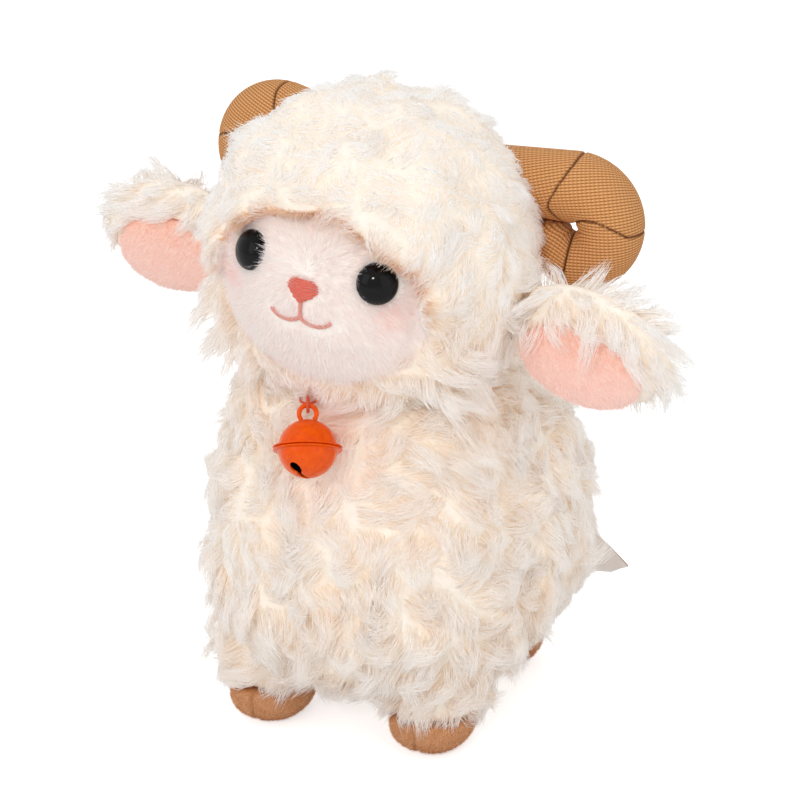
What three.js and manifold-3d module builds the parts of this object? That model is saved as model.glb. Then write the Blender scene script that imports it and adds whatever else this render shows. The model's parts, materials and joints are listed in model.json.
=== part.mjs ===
// A sitting-room plush sheep: stuffed wool body and head, knitted spiral horns, and a jingle bell.
// Millimetres, +Z up. The sheep faces -Y, and its left side is +X. The floor is z = 0.
import * as THREE from 'three';
import { mergeVertices } from 'three/addons/utils/BufferGeometryUtils.js';
import Module from 'manifold-3d';

const wasm = await Module();
wasm.setup();

// Clearance between sewn pieces that touch, and the overrun of every cut
const GAP = 0.3;
const OVERRUN = 12;

// Pile fabric and short plush, pressed thickness
const WOOL_CLOTH = 3;
const PLUSH_CLOTH = 1.8;
const KNIT_CLOTH = 1.2;

// Curly tufts of the wool: their spacing, how far they stand out and how far the creases between them
// sink in. Round what is sewn on, the wool lies flat.
const TUFT_SPACING = 17;
const TUFT_RISE = 3.2;
const CREASE_SINK = 2.2;
const TUFT_FADE = 14;
const SEAM_MARGIN = 5;

// Body: a squarish swelling barrel that tapers to a thick neck
const BODY_HALF_WIDTH = 55;
const BODY_HALF_LENGTH = 60;
const BODY_HALF_HEIGHT = 52;
const BODY_MIDDLE_Y = 10;
const BELLY_HEIGHT = 13.5;
const BODY_SQUARENESS = 2.6;
const BODY_TAPER_SHARE = 0.05;
const NECK_HALF_WIDTH = 47;
const NECK_HALF_LENGTH = 34;
const NECK_HALF_HEIGHT = 34;
const NECK_MIDDLE_Y = -8;
const NECK_DROP = 16;

// Head: a round ball sunk in the neck and tilted towards the sheep's left
const HEAD_HALF_WIDTH = 49;
const HEAD_HALF_LENGTH = 48;
const HEAD_HALF_HEIGHT = 47.5;
const HEAD_MIDDLE_Y = -18;
const HEAD_SINK = 21;
const HEAD_PIVOT_DROP = 40;
const HEAD_TILT = THREE.MathUtils.degToRad(6.3);

// Face: a flatter ball set in an oval opening of the wool
const FACE_HALF_WIDTH = 42;
const FACE_HALF_LENGTH = 37;
const FACE_HALF_HEIGHT = 38;
const FACE_FORWARD = 8.5;
const FACE_DROP = 5;
const FACE_OVAL_HALF_WIDTH = 33.5;
const FACE_OVAL_HALF_HEIGHT = 27.5;
const FACE_OVAL_DROP = 2.5;

// Safety eyes with a post and a washer behind the plush
const EYE_RADIUS = 6;
const EYE_HEIGHT = 3.6;
const EYE_SPREAD = 20.5;
const EYE_RISE = 9.5;
const EYE_POST_RADIUS = 1.8;
const EYE_POST_LENGTH = 9;
const WASHER_RADIUS = 5.6;
const WASHER_THICK = 1.2;

// Satin-stitched nose and a stitched mouth
const STITCH_THICK = 0.8;
const NOSE_HALF_WIDTH = 4.7;
const NOSE_HEIGHT = 6.6;
const NOSE_RISE = 7.2;
const NOSE_CORNER = 2;
const MOUTH_STROKE = 1.1;
const MOUTH_STEM = 4.2;
const MOUTH_HALF_WIDTH = 9.6;
const MOUTH_SAG = 2.6;

// Horns: stuffed knitted tubes, each curled once round a small hole
const HORN_RADIUS = 10.8;
const HORN_TAPER_SHARES = [0.9, 1, 0.93, 0.86, 0.64];
const HORN_TIP_SHARE = 0.5;
const HORN_EYE_RADIUS = 1.3;
const HORN_ROOT_RUN = 26;
const HORN_SPREAD = 51;
const HORN_MIDDLE_Y = 11.3;
const HORN_RISE = 11;
const HORN_TURN = THREE.MathUtils.degToRad(252);
const HORN_YAW = THREE.MathUtils.degToRad(5);
const HORN_ROLL = THREE.MathUtils.degToRad(7);

// Ears: wool backs with a pink pad in front, hinged on their sewn roots
const EAR_HALF_LENGTH = 27;
const EAR_HALF_THICK = 6.5;
const EAR_HALF_HEIGHT = 19;
const EAR_SPREAD = 70;
const EAR_MIDDLE_Y = -15;
const EAR_DROP = 14;
const EAR_DROOP = THREE.MathUtils.degToRad(6);
const EAR_PITCH = THREE.MathUtils.degToRad(14);
const EAR_PAD_HALF_LENGTH = 20;
const EAR_PAD_HALF_THICK = 4;
const EAR_PAD_HALF_HEIGHT = 13;
const EAR_PAD_FORWARD = 5;
const EAR_PAD_DROP = 5;
const EAR_FORWARD_SWING = THREE.MathUtils.degToRad(30);
const EAR_BACK_SWING = THREE.MathUtils.degToRad(10);

// Legs: short wool stubs on plush hooves with a cleft toe
const LEG_RADIUS = 17;
const ANKLE_RADIUS = 13.5;
const THIGH_RADIUS = 9;
const LEG_SWELL_HEIGHT = 27;
const LEG_TOP = 55;
const LEG_SIDE_SET_IN = 27;
const FRONT_LEG_SET_IN = 26;
const HIND_LEG_SET_IN = 23;
const HOOF_HALF_WIDTH = 13;
const HOOF_HALF_LENGTH = 14.5;
const HOOF_HALF_HEIGHT = 9.5;
const HOOF_SQUARENESS = 2.3;
const HOOF_TOP = 12.5;
const HOOF_FORWARD = 2;
const SOLE_CUT = 0.5;
const CLEFT_WIDTH = 0.8;
const CLEFT_DEPTH = 1.6;

// How far each leg stands from its even place: to the left, and back
const STANCE = {
  front_left: [-3, 7],
  front_right: [-3, 3],
  hind_left: [-8, 1],
  hind_right: [-2, 0],
};

// Tail: a small wool puff on the seam of the back
const TAIL_HALF_WIDTH = 10;
const TAIL_HALF_LENGTH = 11;
const TAIL_HALF_HEIGHT = 13;
const TAIL_SINK = 3;
const TAIL_SWING = THREE.MathUtils.degToRad(20);
const TAIL_RISE = 12;

// Folded satin label in the seam of the left flank, twisted towards its fold
const LABEL_LENGTH = 15;
const LABEL_WIDTH = 14;
const LABEL_THICK = 0.7;
const LABEL_DROP = 20;
const LABEL_TURN = THREE.MathUtils.degToRad(27);
const LABEL_DIP = THREE.MathUtils.degToRad(30);
const LABEL_TWIST = THREE.MathUtils.degToRad(60);
const LABEL_SWING = THREE.MathUtils.degToRad(20);

// Jingle bell on a thread loop under the chin, leaning on the chest
const BELL_RADIUS = 8.8;
const BELL_WALL = 0.6;
const BELL_BAND_RADIUS = 10.4;
const BELL_BAND_THICK = 0.55;
const BELL_TILT = THREE.MathUtils.degToRad(32);
const BELL_TURN = THREE.MathUtils.degToRad(27);
const SLOT_TURN = THREE.MathUtils.degToRad(54);
const BELL_CLEAR = 2.8;
const BELL_DROP = 9.2;
const BELL_SLOT_WIDTH = 1.6;
const BELL_HOLE_RADIUS = 1.7;
const BELL_HOLE_SHARE = 0.62;
const LOOP_RADIUS = 2.6;
const LOOP_WIRE_RADIUS = 0.7;
const LOOP_RISE = 1.7;
const PEA_RADIUS = 2.4;
const THREAD_RADIUS = 0.45;
const THREAD_RING_RADIUS = 2.2;
const TACK_HALF_WIDTH = 2.4;
const THREAD_CLEAR = 0.1;
const TACK_REACH = 3;

// Facets of the swelling forms and of the small pieces
const FORM_COLUMNS = 22;
const FORM_ROWS = 12;
const LIMB_COLUMNS = 12;
const LIMB_ROWS = 7;
const LEG_RINGS = 3;
const TUBE_SIDES = 9;
const HORN_ROOT_STEPS = 4;
const HORN_STEPS = 20;
const SMALL_SIDES = 14;
const OVAL_POINTS = 28;
const EYE_STEPS = 4;
const CURVE_POINTS = 4;
const MOUTH_STEPS = 8;
const BELL_STEPS = 5;
const WIRE_SIDES = 6;
const LOOP_STEPS = 10;
const RING_STEPS = 12;
const TACK_STEPS = 8;
const LABEL_STEPS = 6;

// Places that follow from the sizes
const BODY_MIDDLE_Z = BELLY_HEIGHT + BODY_HALF_HEIGHT;
const BODY_TOP = BODY_MIDDLE_Z + BODY_HALF_HEIGHT;
const NECK_MIDDLE_Z = BODY_TOP - NECK_DROP;
const HEAD_MIDDLE_Z = NECK_MIDDLE_Z + NECK_HALF_HEIGHT + HEAD_HALF_HEIGHT - HEAD_SINK;
const FACE_MIDDLE_Y = HEAD_MIDDLE_Y - FACE_FORWARD;
const FACE_MIDDLE_Z = HEAD_MIDDLE_Z - FACE_DROP;
const LEG_SPREAD = BODY_HALF_WIDTH - LEG_SIDE_SET_IN;
const FRONT_LEG_Y = BODY_MIDDLE_Y - BODY_HALF_LENGTH + FRONT_LEG_SET_IN;
const HIND_LEG_Y = BODY_MIDDLE_Y + BODY_HALF_LENGTH - HIND_LEG_SET_IN;
const SIDES = [['left', 1], ['right', -1]];
const LEG_PLACES = {};
for (const [end, y] of [['front', FRONT_LEG_Y], ['hind', HIND_LEG_Y]]) {
  for (const [word, side] of SIDES) {
    const [left, back] = STANCE[`${end}_${word}`];
    LEG_PLACES[`${end}_${word}`] = { x: side * LEG_SPREAD + left, y: y + back };
  }
}

// Colours and finishes of the materials
const FINISHES = {
  wool: { color: 0xf3e6d8, roughness: 0.95, metalness: 0 },
  plush: { color: 0xf4ebe3, roughness: 0.9, metalness: 0 },
  pink: { color: 0xf1bfb0, roughness: 0.9, metalness: 0 },
  knit: { color: 0xc48a58, roughness: 0.9, metalness: 0 },
  hoof: { color: 0xb57c4e, roughness: 0.9, metalness: 0 },
  stuffing: { color: 0xf7f7f4, roughness: 1, metalness: 0 },
  eye: { color: 0x0b0a0b, roughness: 0.08, metalness: 0 },
  washer: { color: 0xe9e9e6, roughness: 0.5, metalness: 0 },
  nose: { color: 0xd9695c, roughness: 0.6, metalness: 0 },
  bell: { color: 0xe4500a, roughness: 0.2, metalness: 0.3 },
  pea: { color: 0x8c8c8c, roughness: 0.4, metalness: 1 },
  thread: { color: 0xd9481f, roughness: 0.8, metalness: 0 },
  label: { color: 0xe6dad2, roughness: 0.5, metalness: 0 },
};

// A closed three.js geometry as a solid, moved by a pose, mirrored ones turned right side out
function solid(geometry, pose = new THREE.Matrix4()) {
  const bare = geometry.clone();
  bare.deleteAttribute('normal');
  bare.deleteAttribute('uv');
  bare.applyMatrix4(pose);
  const merged = mergeVertices(bare);
  const vertProperties = new Float32Array(merged.attributes.position.array);
  const triVerts = new Uint32Array(merged.index.array);
  if (pose.determinant() < 0) {
    for (let i = 0; i < triVerts.length; i += 3) {
      [triVerts[i], triVerts[i + 1]] = [triVerts[i + 1], triVerts[i]];
    }
  }
  return new wasm.Manifold(new wasm.Mesh({ numProp: 3, vertProperties, triVerts }));
}

function without(body, ...cutters) {
  return cutters.reduce((rest, cutter) => rest.subtract(cutter), body);
}

function moved(x, y, z) {
  return new THREE.Matrix4().makeTranslation(x, y, z);
}

// A pose turned by an angle about an axis through a point
function turnedAbout(point, axis, angle) {
  const turn = new THREE.Matrix4().makeRotationAxis(axis, angle);
  return moved(point.x, point.y, point.z).multiply(turn).multiply(moved(-point.x, -point.y, -point.z));
}

// What carries a hinged piece, as the piece meets it at five turns between its two stops
function swept(carrier, root, axis, back, forward) {
  const turns = [-back, -back / 2, 0, forward / 2, forward];
  return turns.map((turn) => carrier(turnedAbout(root, axis, -turn)));
}

// A swelling form: a ball with its own half sizes and squareness, narrower at the top
function swollen(ball, halfX, halfY, halfZ, squareness = 2, taperShare = 0) {
  ball.deleteAttribute('normal');
  ball.deleteAttribute('uv');
  ball.rotateX(Math.PI / 2);
  const points = ball.attributes.position;
  const bulge = (value) => Math.sign(value) * Math.abs(value) ** (2 / squareness);
  for (let i = 0; i < points.count; i += 1) {
    const rise = bulge(points.getZ(i));
    const narrow = 1 - taperShare * rise;
    points.setXYZ(
      i,
      bulge(points.getX(i)) * halfX * narrow,
      bulge(points.getY(i)) * halfY * narrow,
      rise * halfZ,
    );
  }
  return ball;
}

function bigForm(halfX, halfY, halfZ, squareness, taperShare) {
  const ball = new THREE.SphereGeometry(1, FORM_COLUMNS, FORM_ROWS);
  return swollen(ball, halfX, halfY, halfZ, squareness, taperShare);
}

function smallForm(halfX, halfY, halfZ, squareness) {
  const ball = new THREE.SphereGeometry(1, LIMB_COLUMNS, LIMB_ROWS);
  return swollen(ball, halfX, halfY, halfZ, squareness);
}

// A tube whose radius changes along its path, closed by a flat start and a rounded tip
function taperedTube(path, radii, sides, tipRound) {
  const tangents = path.map((_, i) => {
    const before = path[Math.max(i - 1, 0)];
    const after = path[Math.min(i + 1, path.length - 1)];
    return after.clone().sub(before).normalize();
  });
  const rings = path.map((point, i) => ({ point, radius: radii[i], tangent: tangents[i] }));
  const last = rings[rings.length - 1];
  if (tipRound) {
    for (const angle of [Math.PI / 6, Math.PI / 3]) {
      const point = last.point.clone().addScaledVector(last.tangent, tipRound * Math.sin(angle));
      rings.push({ point, radius: last.radius * Math.cos(angle), tangent: last.tangent });
    }
  }
  const positions = [];
  const faces = [];
  const across = new THREE.Vector3(0, 1, 0);
  for (const { point, radius, tangent } of rings) {
    const side = new THREE.Vector3().crossVectors(across, tangent).normalize();
    const rise = new THREE.Vector3().crossVectors(tangent, side).normalize();
    for (let k = 0; k < sides; k += 1) {
      const angle = (2 * Math.PI * k) / sides;
      const vertex = point.clone();
      vertex.addScaledVector(side, radius * Math.cos(angle));
      vertex.addScaledVector(rise, radius * Math.sin(angle));
      positions.push(vertex.x, vertex.y, vertex.z);
    }
  }
  const end = last.point.clone().addScaledVector(last.tangent, tipRound);
  positions.push(path[0].x, path[0].y, path[0].z, end.x, end.y, end.z);
  const startIndex = rings.length * sides;
  for (let k = 0; k < sides; k += 1) {
    const next = (k + 1) % sides;
    faces.push(startIndex, next, k);
    const lastRing = (rings.length - 1) * sides;
    faces.push(startIndex + 1, lastRing + k, lastRing + next);
    for (let i = 0; i < rings.length - 1; i += 1) {
      const low = i * sides;
      const high = low + sides;
      faces.push(low + k, low + next, high + next, low + k, high + next, high + k);
    }
  }
  const tube = new THREE.BufferGeometry();
  tube.setAttribute('position', new THREE.Float32BufferAttribute(positions, 3));
  tube.setIndex(faces);
  return tube;
}

// A closed outline in x and z, drawn through the whole head along y
function frontPrism(shape, middleX, middleZ) {
  const depth = HEAD_HALF_LENGTH + FACE_HALF_LENGTH;
  const prism = new THREE.ExtrudeGeometry(shape, { depth, bevelEnabled: false });
  prism.rotateX(Math.PI / 2);
  return prism.translate(middleX, HEAD_MIDDLE_Y, middleZ);
}

function ovalShape(halfWidth, halfHeight) {
  const shape = new THREE.Shape();
  shape.absellipse(0, 0, halfWidth, halfHeight, 0, 2 * Math.PI);
  return new THREE.Shape(shape.getSpacedPoints(OVAL_POINTS));
}

// The body's form, with its outside moved in by an inset
function bodyForm(inset, pose = new THREE.Matrix4()) {
  const barrel = bigForm(
    BODY_HALF_WIDTH - inset,
    BODY_HALF_LENGTH - inset,
    BODY_HALF_HEIGHT - inset,
    BODY_SQUARENESS,
    BODY_TAPER_SHARE,
  );
  const neck = bigForm(NECK_HALF_WIDTH - inset, NECK_HALF_LENGTH - inset, NECK_HALF_HEIGHT - inset);
  barrel.translate(0, BODY_MIDDLE_Y, BODY_MIDDLE_Z);
  neck.translate(0, NECK_MIDDLE_Y, NECK_MIDDLE_Z);
  return solid(barrel, pose).add(solid(neck, pose));
}

// How far the barrel reaches along x or y from its middle at a height
function barrelReach(half, z) {
  const rise = (z - BODY_MIDDLE_Z) / BODY_HALF_HEIGHT;
  const narrow = 1 - BODY_TAPER_SHARE * rise;
  return half * narrow * (1 - Math.abs(rise) ** BODY_SQUARENESS) ** (1 / BODY_SQUARENESS);
}

// How much of its full height a tuft has at a point: none near what is sewn on there
function tuftShare(point, sewnOn) {
  return sewnOn.reduce((rest, { middle, reach }) => {
    const away = (point.distanceTo(middle) - reach) / TUFT_FADE;
    return rest * THREE.MathUtils.smoothstep(away, 0, 1);
  }, 1);
}

// How high the wool stands at a point, from a crease to the top of a tuft
function tuftLevel({ x, y, z }) {
  const pace = (2 * Math.PI) / (TUFT_SPACING * Math.SQRT2);
  const swell = Math.sin(x * pace) * Math.cos(y * pace)
    + Math.sin(y * pace) * Math.cos(z * pace)
    + Math.sin(z * pace) * Math.cos(x * pace);
  return THREE.MathUtils.mapLinear(THREE.MathUtils.clamp(swell, -1, 1), -1, 1, -CREASE_SINK, TUFT_RISE);
}

// A form with its wool in tufts: each triangle is split in four, and the corners rise and sink
function tufted(form, middle, sewnOn) {
  const corners = form.toNonIndexed().attributes.position;
  const settled = (point) => {
    const place = point.clone().add(middle);
    const level = tuftLevel(place) * tuftShare(place, sewnOn);
    return place.addScaledVector(point.clone().normalize(), level);
  };
  const positions = [];
  for (let i = 0; i < corners.count; i += 3) {
    const raw = [0, 1, 2].map((k) => new THREE.Vector3().fromBufferAttribute(corners, i + k));
    const between = raw.map((corner, k) => settled(corner.clone().lerp(raw[(k + 1) % 3], 0.5)));
    const outer = raw.map(settled);
    const faces = [
      [outer[0], between[0], between[2]],
      [outer[1], between[1], between[0]],
      [outer[2], between[2], between[1]],
      between,
    ];
    positions.push(...faces.flat().flatMap((point) => point.toArray()));
  }
  const wool = new THREE.BufferGeometry();
  wool.setAttribute('position', new THREE.Float32BufferAttribute(positions, 3));
  return wool;
}

// The head stands tilted on the neck, and all its pieces share this pose
const NECK_PIVOT = new THREE.Vector3(0, NECK_MIDDLE_Y, HEAD_MIDDLE_Z - HEAD_PIVOT_DROP);
const HEAD_POSE = turnedAbout(NECK_PIVOT, new THREE.Vector3(0, 1, 0), HEAD_TILT);
const MIRROR = new THREE.Matrix4().makeScale(-1, 1, 1);

function headSide(side) {
  return side > 0 ? HEAD_POSE.clone() : HEAD_POSE.clone().multiply(MIRROR);
}

function headForm(inset, pose = new THREE.Matrix4()) {
  const ball = bigForm(HEAD_HALF_WIDTH - inset, HEAD_HALF_LENGTH - inset, HEAD_HALF_HEIGHT - inset);
  ball.translate(0, HEAD_MIDDLE_Y, HEAD_MIDDLE_Z);
  return solid(ball, pose.clone().multiply(HEAD_POSE));
}

function faceForm(inset) {
  const ball = bigForm(FACE_HALF_WIDTH - inset, FACE_HALF_LENGTH - inset, FACE_HALF_HEIGHT - inset);
  ball.translate(0, FACE_MIDDLE_Y, FACE_MIDDLE_Z);
  return solid(ball, HEAD_POSE);
}

function faceOval(grow) {
  const shape = ovalShape(FACE_OVAL_HALF_WIDTH + grow, FACE_OVAL_HALF_HEIGHT + grow);
  return solid(frontPrism(shape, 0, FACE_MIDDLE_Z - FACE_OVAL_DROP), HEAD_POSE);
}

// A point on the face, and the way straight out of the face there
function onFace(x, z) {
  const shareX = x / FACE_HALF_WIDTH;
  const shareZ = z / FACE_HALF_HEIGHT;
  const depth = Math.sqrt(1 - shareX ** 2 - shareZ ** 2);
  const point = new THREE.Vector3(x, FACE_MIDDLE_Y - FACE_HALF_LENGTH * depth, FACE_MIDDLE_Z + z);
  const out = new THREE.Vector3(
    shareX / FACE_HALF_WIDTH,
    -depth / FACE_HALF_LENGTH,
    shareZ / FACE_HALF_HEIGHT,
  );
  return { point, out: out.normalize() };
}

// A pose that stands a lathe's Y axis on the face at an eye
function eyePose(side) {
  const { point, out } = onFace(EYE_SPREAD, EYE_RISE);
  const turn = new THREE.Quaternion().setFromUnitVectors(new THREE.Vector3(0, 1, 0), out);
  const stand = new THREE.Matrix4().compose(point, turn, new THREE.Vector3(1, 1, 1));
  return headSide(side).multiply(stand);
}

function eyePost(side, grow) {
  const length = EYE_POST_LENGTH + grow;
  const post = new THREE.CylinderGeometry(
    EYE_POST_RADIUS + grow,
    EYE_POST_RADIUS + grow,
    length + EYE_HEIGHT / 2,
    SMALL_SIDES,
  );
  return solid(post.translate(0, (EYE_HEIGHT / 2 - length) / 2, 0), eyePose(side));
}

function makeEye(side) {
  const profile = [new THREE.Vector2(0, -EYE_HEIGHT / 2), new THREE.Vector2(EYE_RADIUS, -EYE_HEIGHT / 2)];
  for (let i = 0; i <= EYE_STEPS; i += 1) {
    const angle = (Math.PI / 2) * (i / EYE_STEPS);
    profile.push(new THREE.Vector2(EYE_RADIUS * Math.cos(angle), EYE_HEIGHT * Math.sin(angle)));
  }
  profile[profile.length - 1].x = 0;
  const dome = solid(new THREE.LatheGeometry(profile, SMALL_SIDES), eyePose(side));
  return without(dome, faceForm(-GAP)).add(eyePost(side, 0));
}

// The washer grips the post behind the plush
function washerDisc(side, grow) {
  const disc = new THREE.CylinderGeometry(
    WASHER_RADIUS + grow,
    WASHER_RADIUS + grow,
    WASHER_THICK + 2 * grow,
    SMALL_SIDES,
  );
  const sag = FACE_HALF_LENGTH - Math.sqrt(FACE_HALF_LENGTH ** 2 - WASHER_RADIUS ** 2);
  const depth = PLUSH_CLOTH + GAP + sag + WASHER_THICK / 2;
  return solid(disc.translate(0, -depth, 0), eyePose(side));
}

function makeWasher(side) {
  const pressed = washerDisc(side, 0).intersect(faceForm(PLUSH_CLOTH + GAP));
  return without(pressed, eyePost(side, GAP));
}

// Stitches lie on the face inside an outline
function stitched(outline) {
  return without(faceForm(-GAP - STITCH_THICK), faceForm(-GAP)).intersect(outline);
}

const NOSE_MIDDLE_Z = FACE_MIDDLE_Z + NOSE_RISE - NOSE_HEIGHT / 2;

function makeNose() {
  const shape = new THREE.Shape();
  const top = NOSE_HEIGHT / 2;
  const corner = NOSE_HALF_WIDTH - NOSE_CORNER;
  shape.moveTo(-corner, top);
  shape.lineTo(corner, top);
  shape.quadraticCurveTo(NOSE_HALF_WIDTH, top, NOSE_HALF_WIDTH, top - NOSE_CORNER);
  shape.quadraticCurveTo(corner, -top, 0, -top);
  shape.quadraticCurveTo(-corner, -top, -NOSE_HALF_WIDTH, top - NOSE_CORNER);
  shape.quadraticCurveTo(-NOSE_HALF_WIDTH, top, -corner, top);
  const outline = new THREE.Shape(shape.getPoints(CURVE_POINTS).slice(0, -1));
  return stitched(solid(frontPrism(outline, 0, NOSE_MIDDLE_Z), HEAD_POSE));
}

// The mouth is a stem under the nose and a drooping arc to each side
function makeMouth() {
  const stemTop = NOSE_MIDDLE_Z - NOSE_HEIGHT / 2 - GAP;
  const stemFoot = stemTop - MOUTH_STEM;
  const half = MOUTH_STROKE / 2;
  const stem = new THREE.Shape([
    new THREE.Vector2(-half, -MOUTH_STEM),
    new THREE.Vector2(half, -MOUTH_STEM),
    new THREE.Vector2(half, 0),
    new THREE.Vector2(-half, 0),
  ]);
  let outline = solid(frontPrism(stem, 0, stemTop), HEAD_POSE);
  const reach = MOUTH_HALF_WIDTH / 2;
  for (const side of [-1, 1]) {
    const arc = new THREE.Shape();
    const start = Math.PI;
    const end = 2 * Math.PI;
    arc.absellipse(0, 0, reach + half, MOUTH_SAG + half, start, end, false);
    const outer = arc.getSpacedPoints(MOUTH_STEPS);
    const inner = new THREE.Shape();
    inner.absellipse(0, 0, reach - half, MOUTH_SAG - half, start, end, false);
    const points = [...outer, ...inner.getSpacedPoints(MOUTH_STEPS).reverse()];
    const prism = frontPrism(new THREE.Shape(points), side * reach, stemFoot + half);
    outline = outline.add(solid(prism, HEAD_POSE));
  }
  return stitched(outline);
}

// The horn's middle line and radius: a run out of the head, then one turn down and back in
function hornTube(inset, overrun) {
  const radiusAt = (share) => {
    const steps = HORN_TAPER_SHARES.length - 1;
    const low = Math.min(Math.floor(share * steps), steps - 1);
    const rest = share * steps - low;
    const taper = THREE.MathUtils.lerp(HORN_TAPER_SHARES[low], HORN_TAPER_SHARES[low + 1], rest);
    return HORN_RADIUS * taper;
  };
  const path = [];
  const radii = [];
  const rootShare = 1 / (HORN_TAPER_SHARES.length - 1);
  const top = HORN_RADIUS * 2 + HORN_EYE_RADIUS;
  for (let i = 0; i < HORN_ROOT_STEPS; i += 1) {
    const radius = radiusAt(rootShare * (i / HORN_ROOT_STEPS));
    path.push(new THREE.Vector3(HORN_ROOT_RUN * (i / HORN_ROOT_STEPS - 1), 0, top - radius));
    radii.push(radius - inset);
  }
  if (overrun) {
    path.unshift(path[0].clone().setX(-HORN_ROOT_RUN - overrun));
    radii.unshift(radii[0]);
  }
  for (let i = 0; i <= HORN_STEPS; i += 1) {
    const share = i / HORN_STEPS;
    const angle = Math.PI / 2 - HORN_TURN * share;
    const radius = radiusAt(rootShare + (1 - rootShare) * share);
    const reach = radius + HORN_EYE_RADIUS;
    path.push(new THREE.Vector3(reach * Math.cos(angle), 0, reach * Math.sin(angle)));
    radii.push(radius - inset);
  }
  const tipRound = HORN_RADIUS * HORN_TAPER_SHARES.at(-1) * HORN_TIP_SHARE - inset;
  return taperedTube(path, radii, TUBE_SIDES, tipRound);
}

function hornForm(side, inset, overrun = 0) {
  const tube = hornTube(inset, overrun);
  tube.rotateY(-HORN_ROLL);
  tube.rotateZ(HORN_YAW);
  tube.translate(HORN_SPREAD, HORN_MIDDLE_Y, HEAD_MIDDLE_Z + HORN_RISE);
  return solid(tube, headSide(side));
}

function makeHornCover(side) {
  return without(hornForm(side, 0), hornForm(side, KNIT_CLOTH, OVERRUN), headForm(-GAP));
}

function makeHornStuffing(side) {
  return without(hornForm(side, KNIT_CLOTH + GAP), headForm(-GAP));
}

// The ear's own pose: out to the side, drooping, its pad turned a little down
function earPose(side) {
  const pose = moved(EAR_SPREAD, EAR_MIDDLE_Y, HEAD_MIDDLE_Z - EAR_DROP);
  pose.multiply(new THREE.Matrix4().makeRotationY(EAR_DROOP));
  pose.multiply(new THREE.Matrix4().makeRotationX(EAR_PITCH));
  return headSide(side).multiply(pose);
}

// The sewn root stands on the head's side where the ear's middle line meets it
function earRoot(side) {
  const z = -EAR_DROP / HEAD_HALF_HEIGHT;
  const y = (EAR_MIDDLE_Y - HEAD_MIDDLE_Y) / HEAD_HALF_LENGTH;
  const x = (HEAD_HALF_WIDTH + GAP) * Math.sqrt(1 - y * y - z * z);
  return new THREE.Vector3(x, EAR_MIDDLE_Y, HEAD_MIDDLE_Z - EAR_DROP).applyMatrix4(headSide(side));
}

const HEAD_UP = new THREE.Vector3(0, 0, 1).transformDirection(HEAD_POSE);

// The left ear swings forward with a negative turn about the head's upright, the right with a positive
function earClearances(side) {
  const axis = HEAD_UP.clone().multiplyScalar(side);
  return swept((pose) => headForm(-GAP, pose), earRoot(side), axis, EAR_FORWARD_SWING, EAR_BACK_SWING);
}

function earPad(side, grow) {
  const pad = smallForm(
    EAR_PAD_HALF_LENGTH + grow,
    EAR_PAD_HALF_THICK + grow,
    EAR_PAD_HALF_HEIGHT + grow,
  );
  return solid(pad.translate(0, -EAR_PAD_FORWARD, -EAR_PAD_DROP), earPose(side));
}

function makeEarBack(side) {
  const leaf = smallForm(EAR_HALF_LENGTH, EAR_HALF_THICK, EAR_HALF_HEIGHT);
  return without(solid(leaf, earPose(side)), earPad(side, GAP), ...earClearances(side));
}

function makeEarLining(side) {
  return without(earPad(side, 0), ...earClearances(side));
}

// A leg's wool sleeve or its filling, from the hoof up into the barrel
function legStub(inset, foot) {
  const profile = [new THREE.Vector2(0, foot), new THREE.Vector2(ANKLE_RADIUS - inset, foot)];
  for (let i = 1; i <= LEG_RINGS; i += 1) {
    const swell = Math.sin((Math.PI / 2) * (i / LEG_RINGS));
    const radius = THREE.MathUtils.lerp(ANKLE_RADIUS, LEG_RADIUS, swell) - inset;
    profile.push(new THREE.Vector2(radius, THREE.MathUtils.lerp(HOOF_TOP, LEG_SWELL_HEIGHT, i / LEG_RINGS)));
  }
  for (let i = 1; i <= LEG_RINGS; i += 1) {
    const narrow = 1 - Math.cos((Math.PI / 2) * (i / LEG_RINGS));
    const radius = THREE.MathUtils.lerp(LEG_RADIUS, THIGH_RADIUS, narrow) - inset;
    profile.push(new THREE.Vector2(radius, THREE.MathUtils.lerp(LEG_SWELL_HEIGHT, LEG_TOP, i / LEG_RINGS)));
  }
  profile.push(new THREE.Vector2(0, LEG_TOP));
  return new THREE.LatheGeometry(profile, LIMB_COLUMNS).rotateX(Math.PI / 2);
}

function makeLegCover(x, y) {
  const place = moved(x, y, 0);
  const inside = solid(legStub(WOOL_CLOTH, HOOF_TOP - OVERRUN), place);
  return without(solid(legStub(0, HOOF_TOP), place), inside, bodyForm(-GAP));
}

function makeLegStuffing(x, y) {
  const stub = solid(legStub(WOOL_CLOTH + GAP, HOOF_TOP), moved(x, y, 0));
  return without(stub, bodyForm(-GAP));
}

// The hoof is a plush pad, flat at its sole and top, with a stitched cleft in the toe
function makeHoof(x, y) {
  const pad = smallForm(HOOF_HALF_WIDTH, HOOF_HALF_LENGTH, HOOF_HALF_HEIGHT, HOOF_SQUARENESS);
  const place = moved(x, y - HOOF_FORWARD, HOOF_HALF_HEIGHT - SOLE_CUT);
  const height = HOOF_TOP - GAP;
  const slab = new THREE.BoxGeometry(
    2 * HOOF_HALF_WIDTH + OVERRUN,
    2 * HOOF_HALF_LENGTH + OVERRUN,
    height,
  );
  const wedge = new THREE.Shape([
    new THREE.Vector2(-CLEFT_WIDTH / 2, -HOOF_HALF_LENGTH),
    new THREE.Vector2(CLEFT_WIDTH / 2, -HOOF_HALF_LENGTH),
    new THREE.Vector2(0, CLEFT_DEPTH - HOOF_HALF_LENGTH),
  ]);
  const cleft = new THREE.ExtrudeGeometry(wedge, { depth: 2 * HOOF_HALF_HEIGHT, bevelEnabled: false });
  cleft.translate(0, 0, -HOOF_HALF_HEIGHT);
  const shaped = solid(pad, place).intersect(solid(slab.translate(x, y, height / 2)));
  return without(shaped, solid(cleft, place));
}

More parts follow.
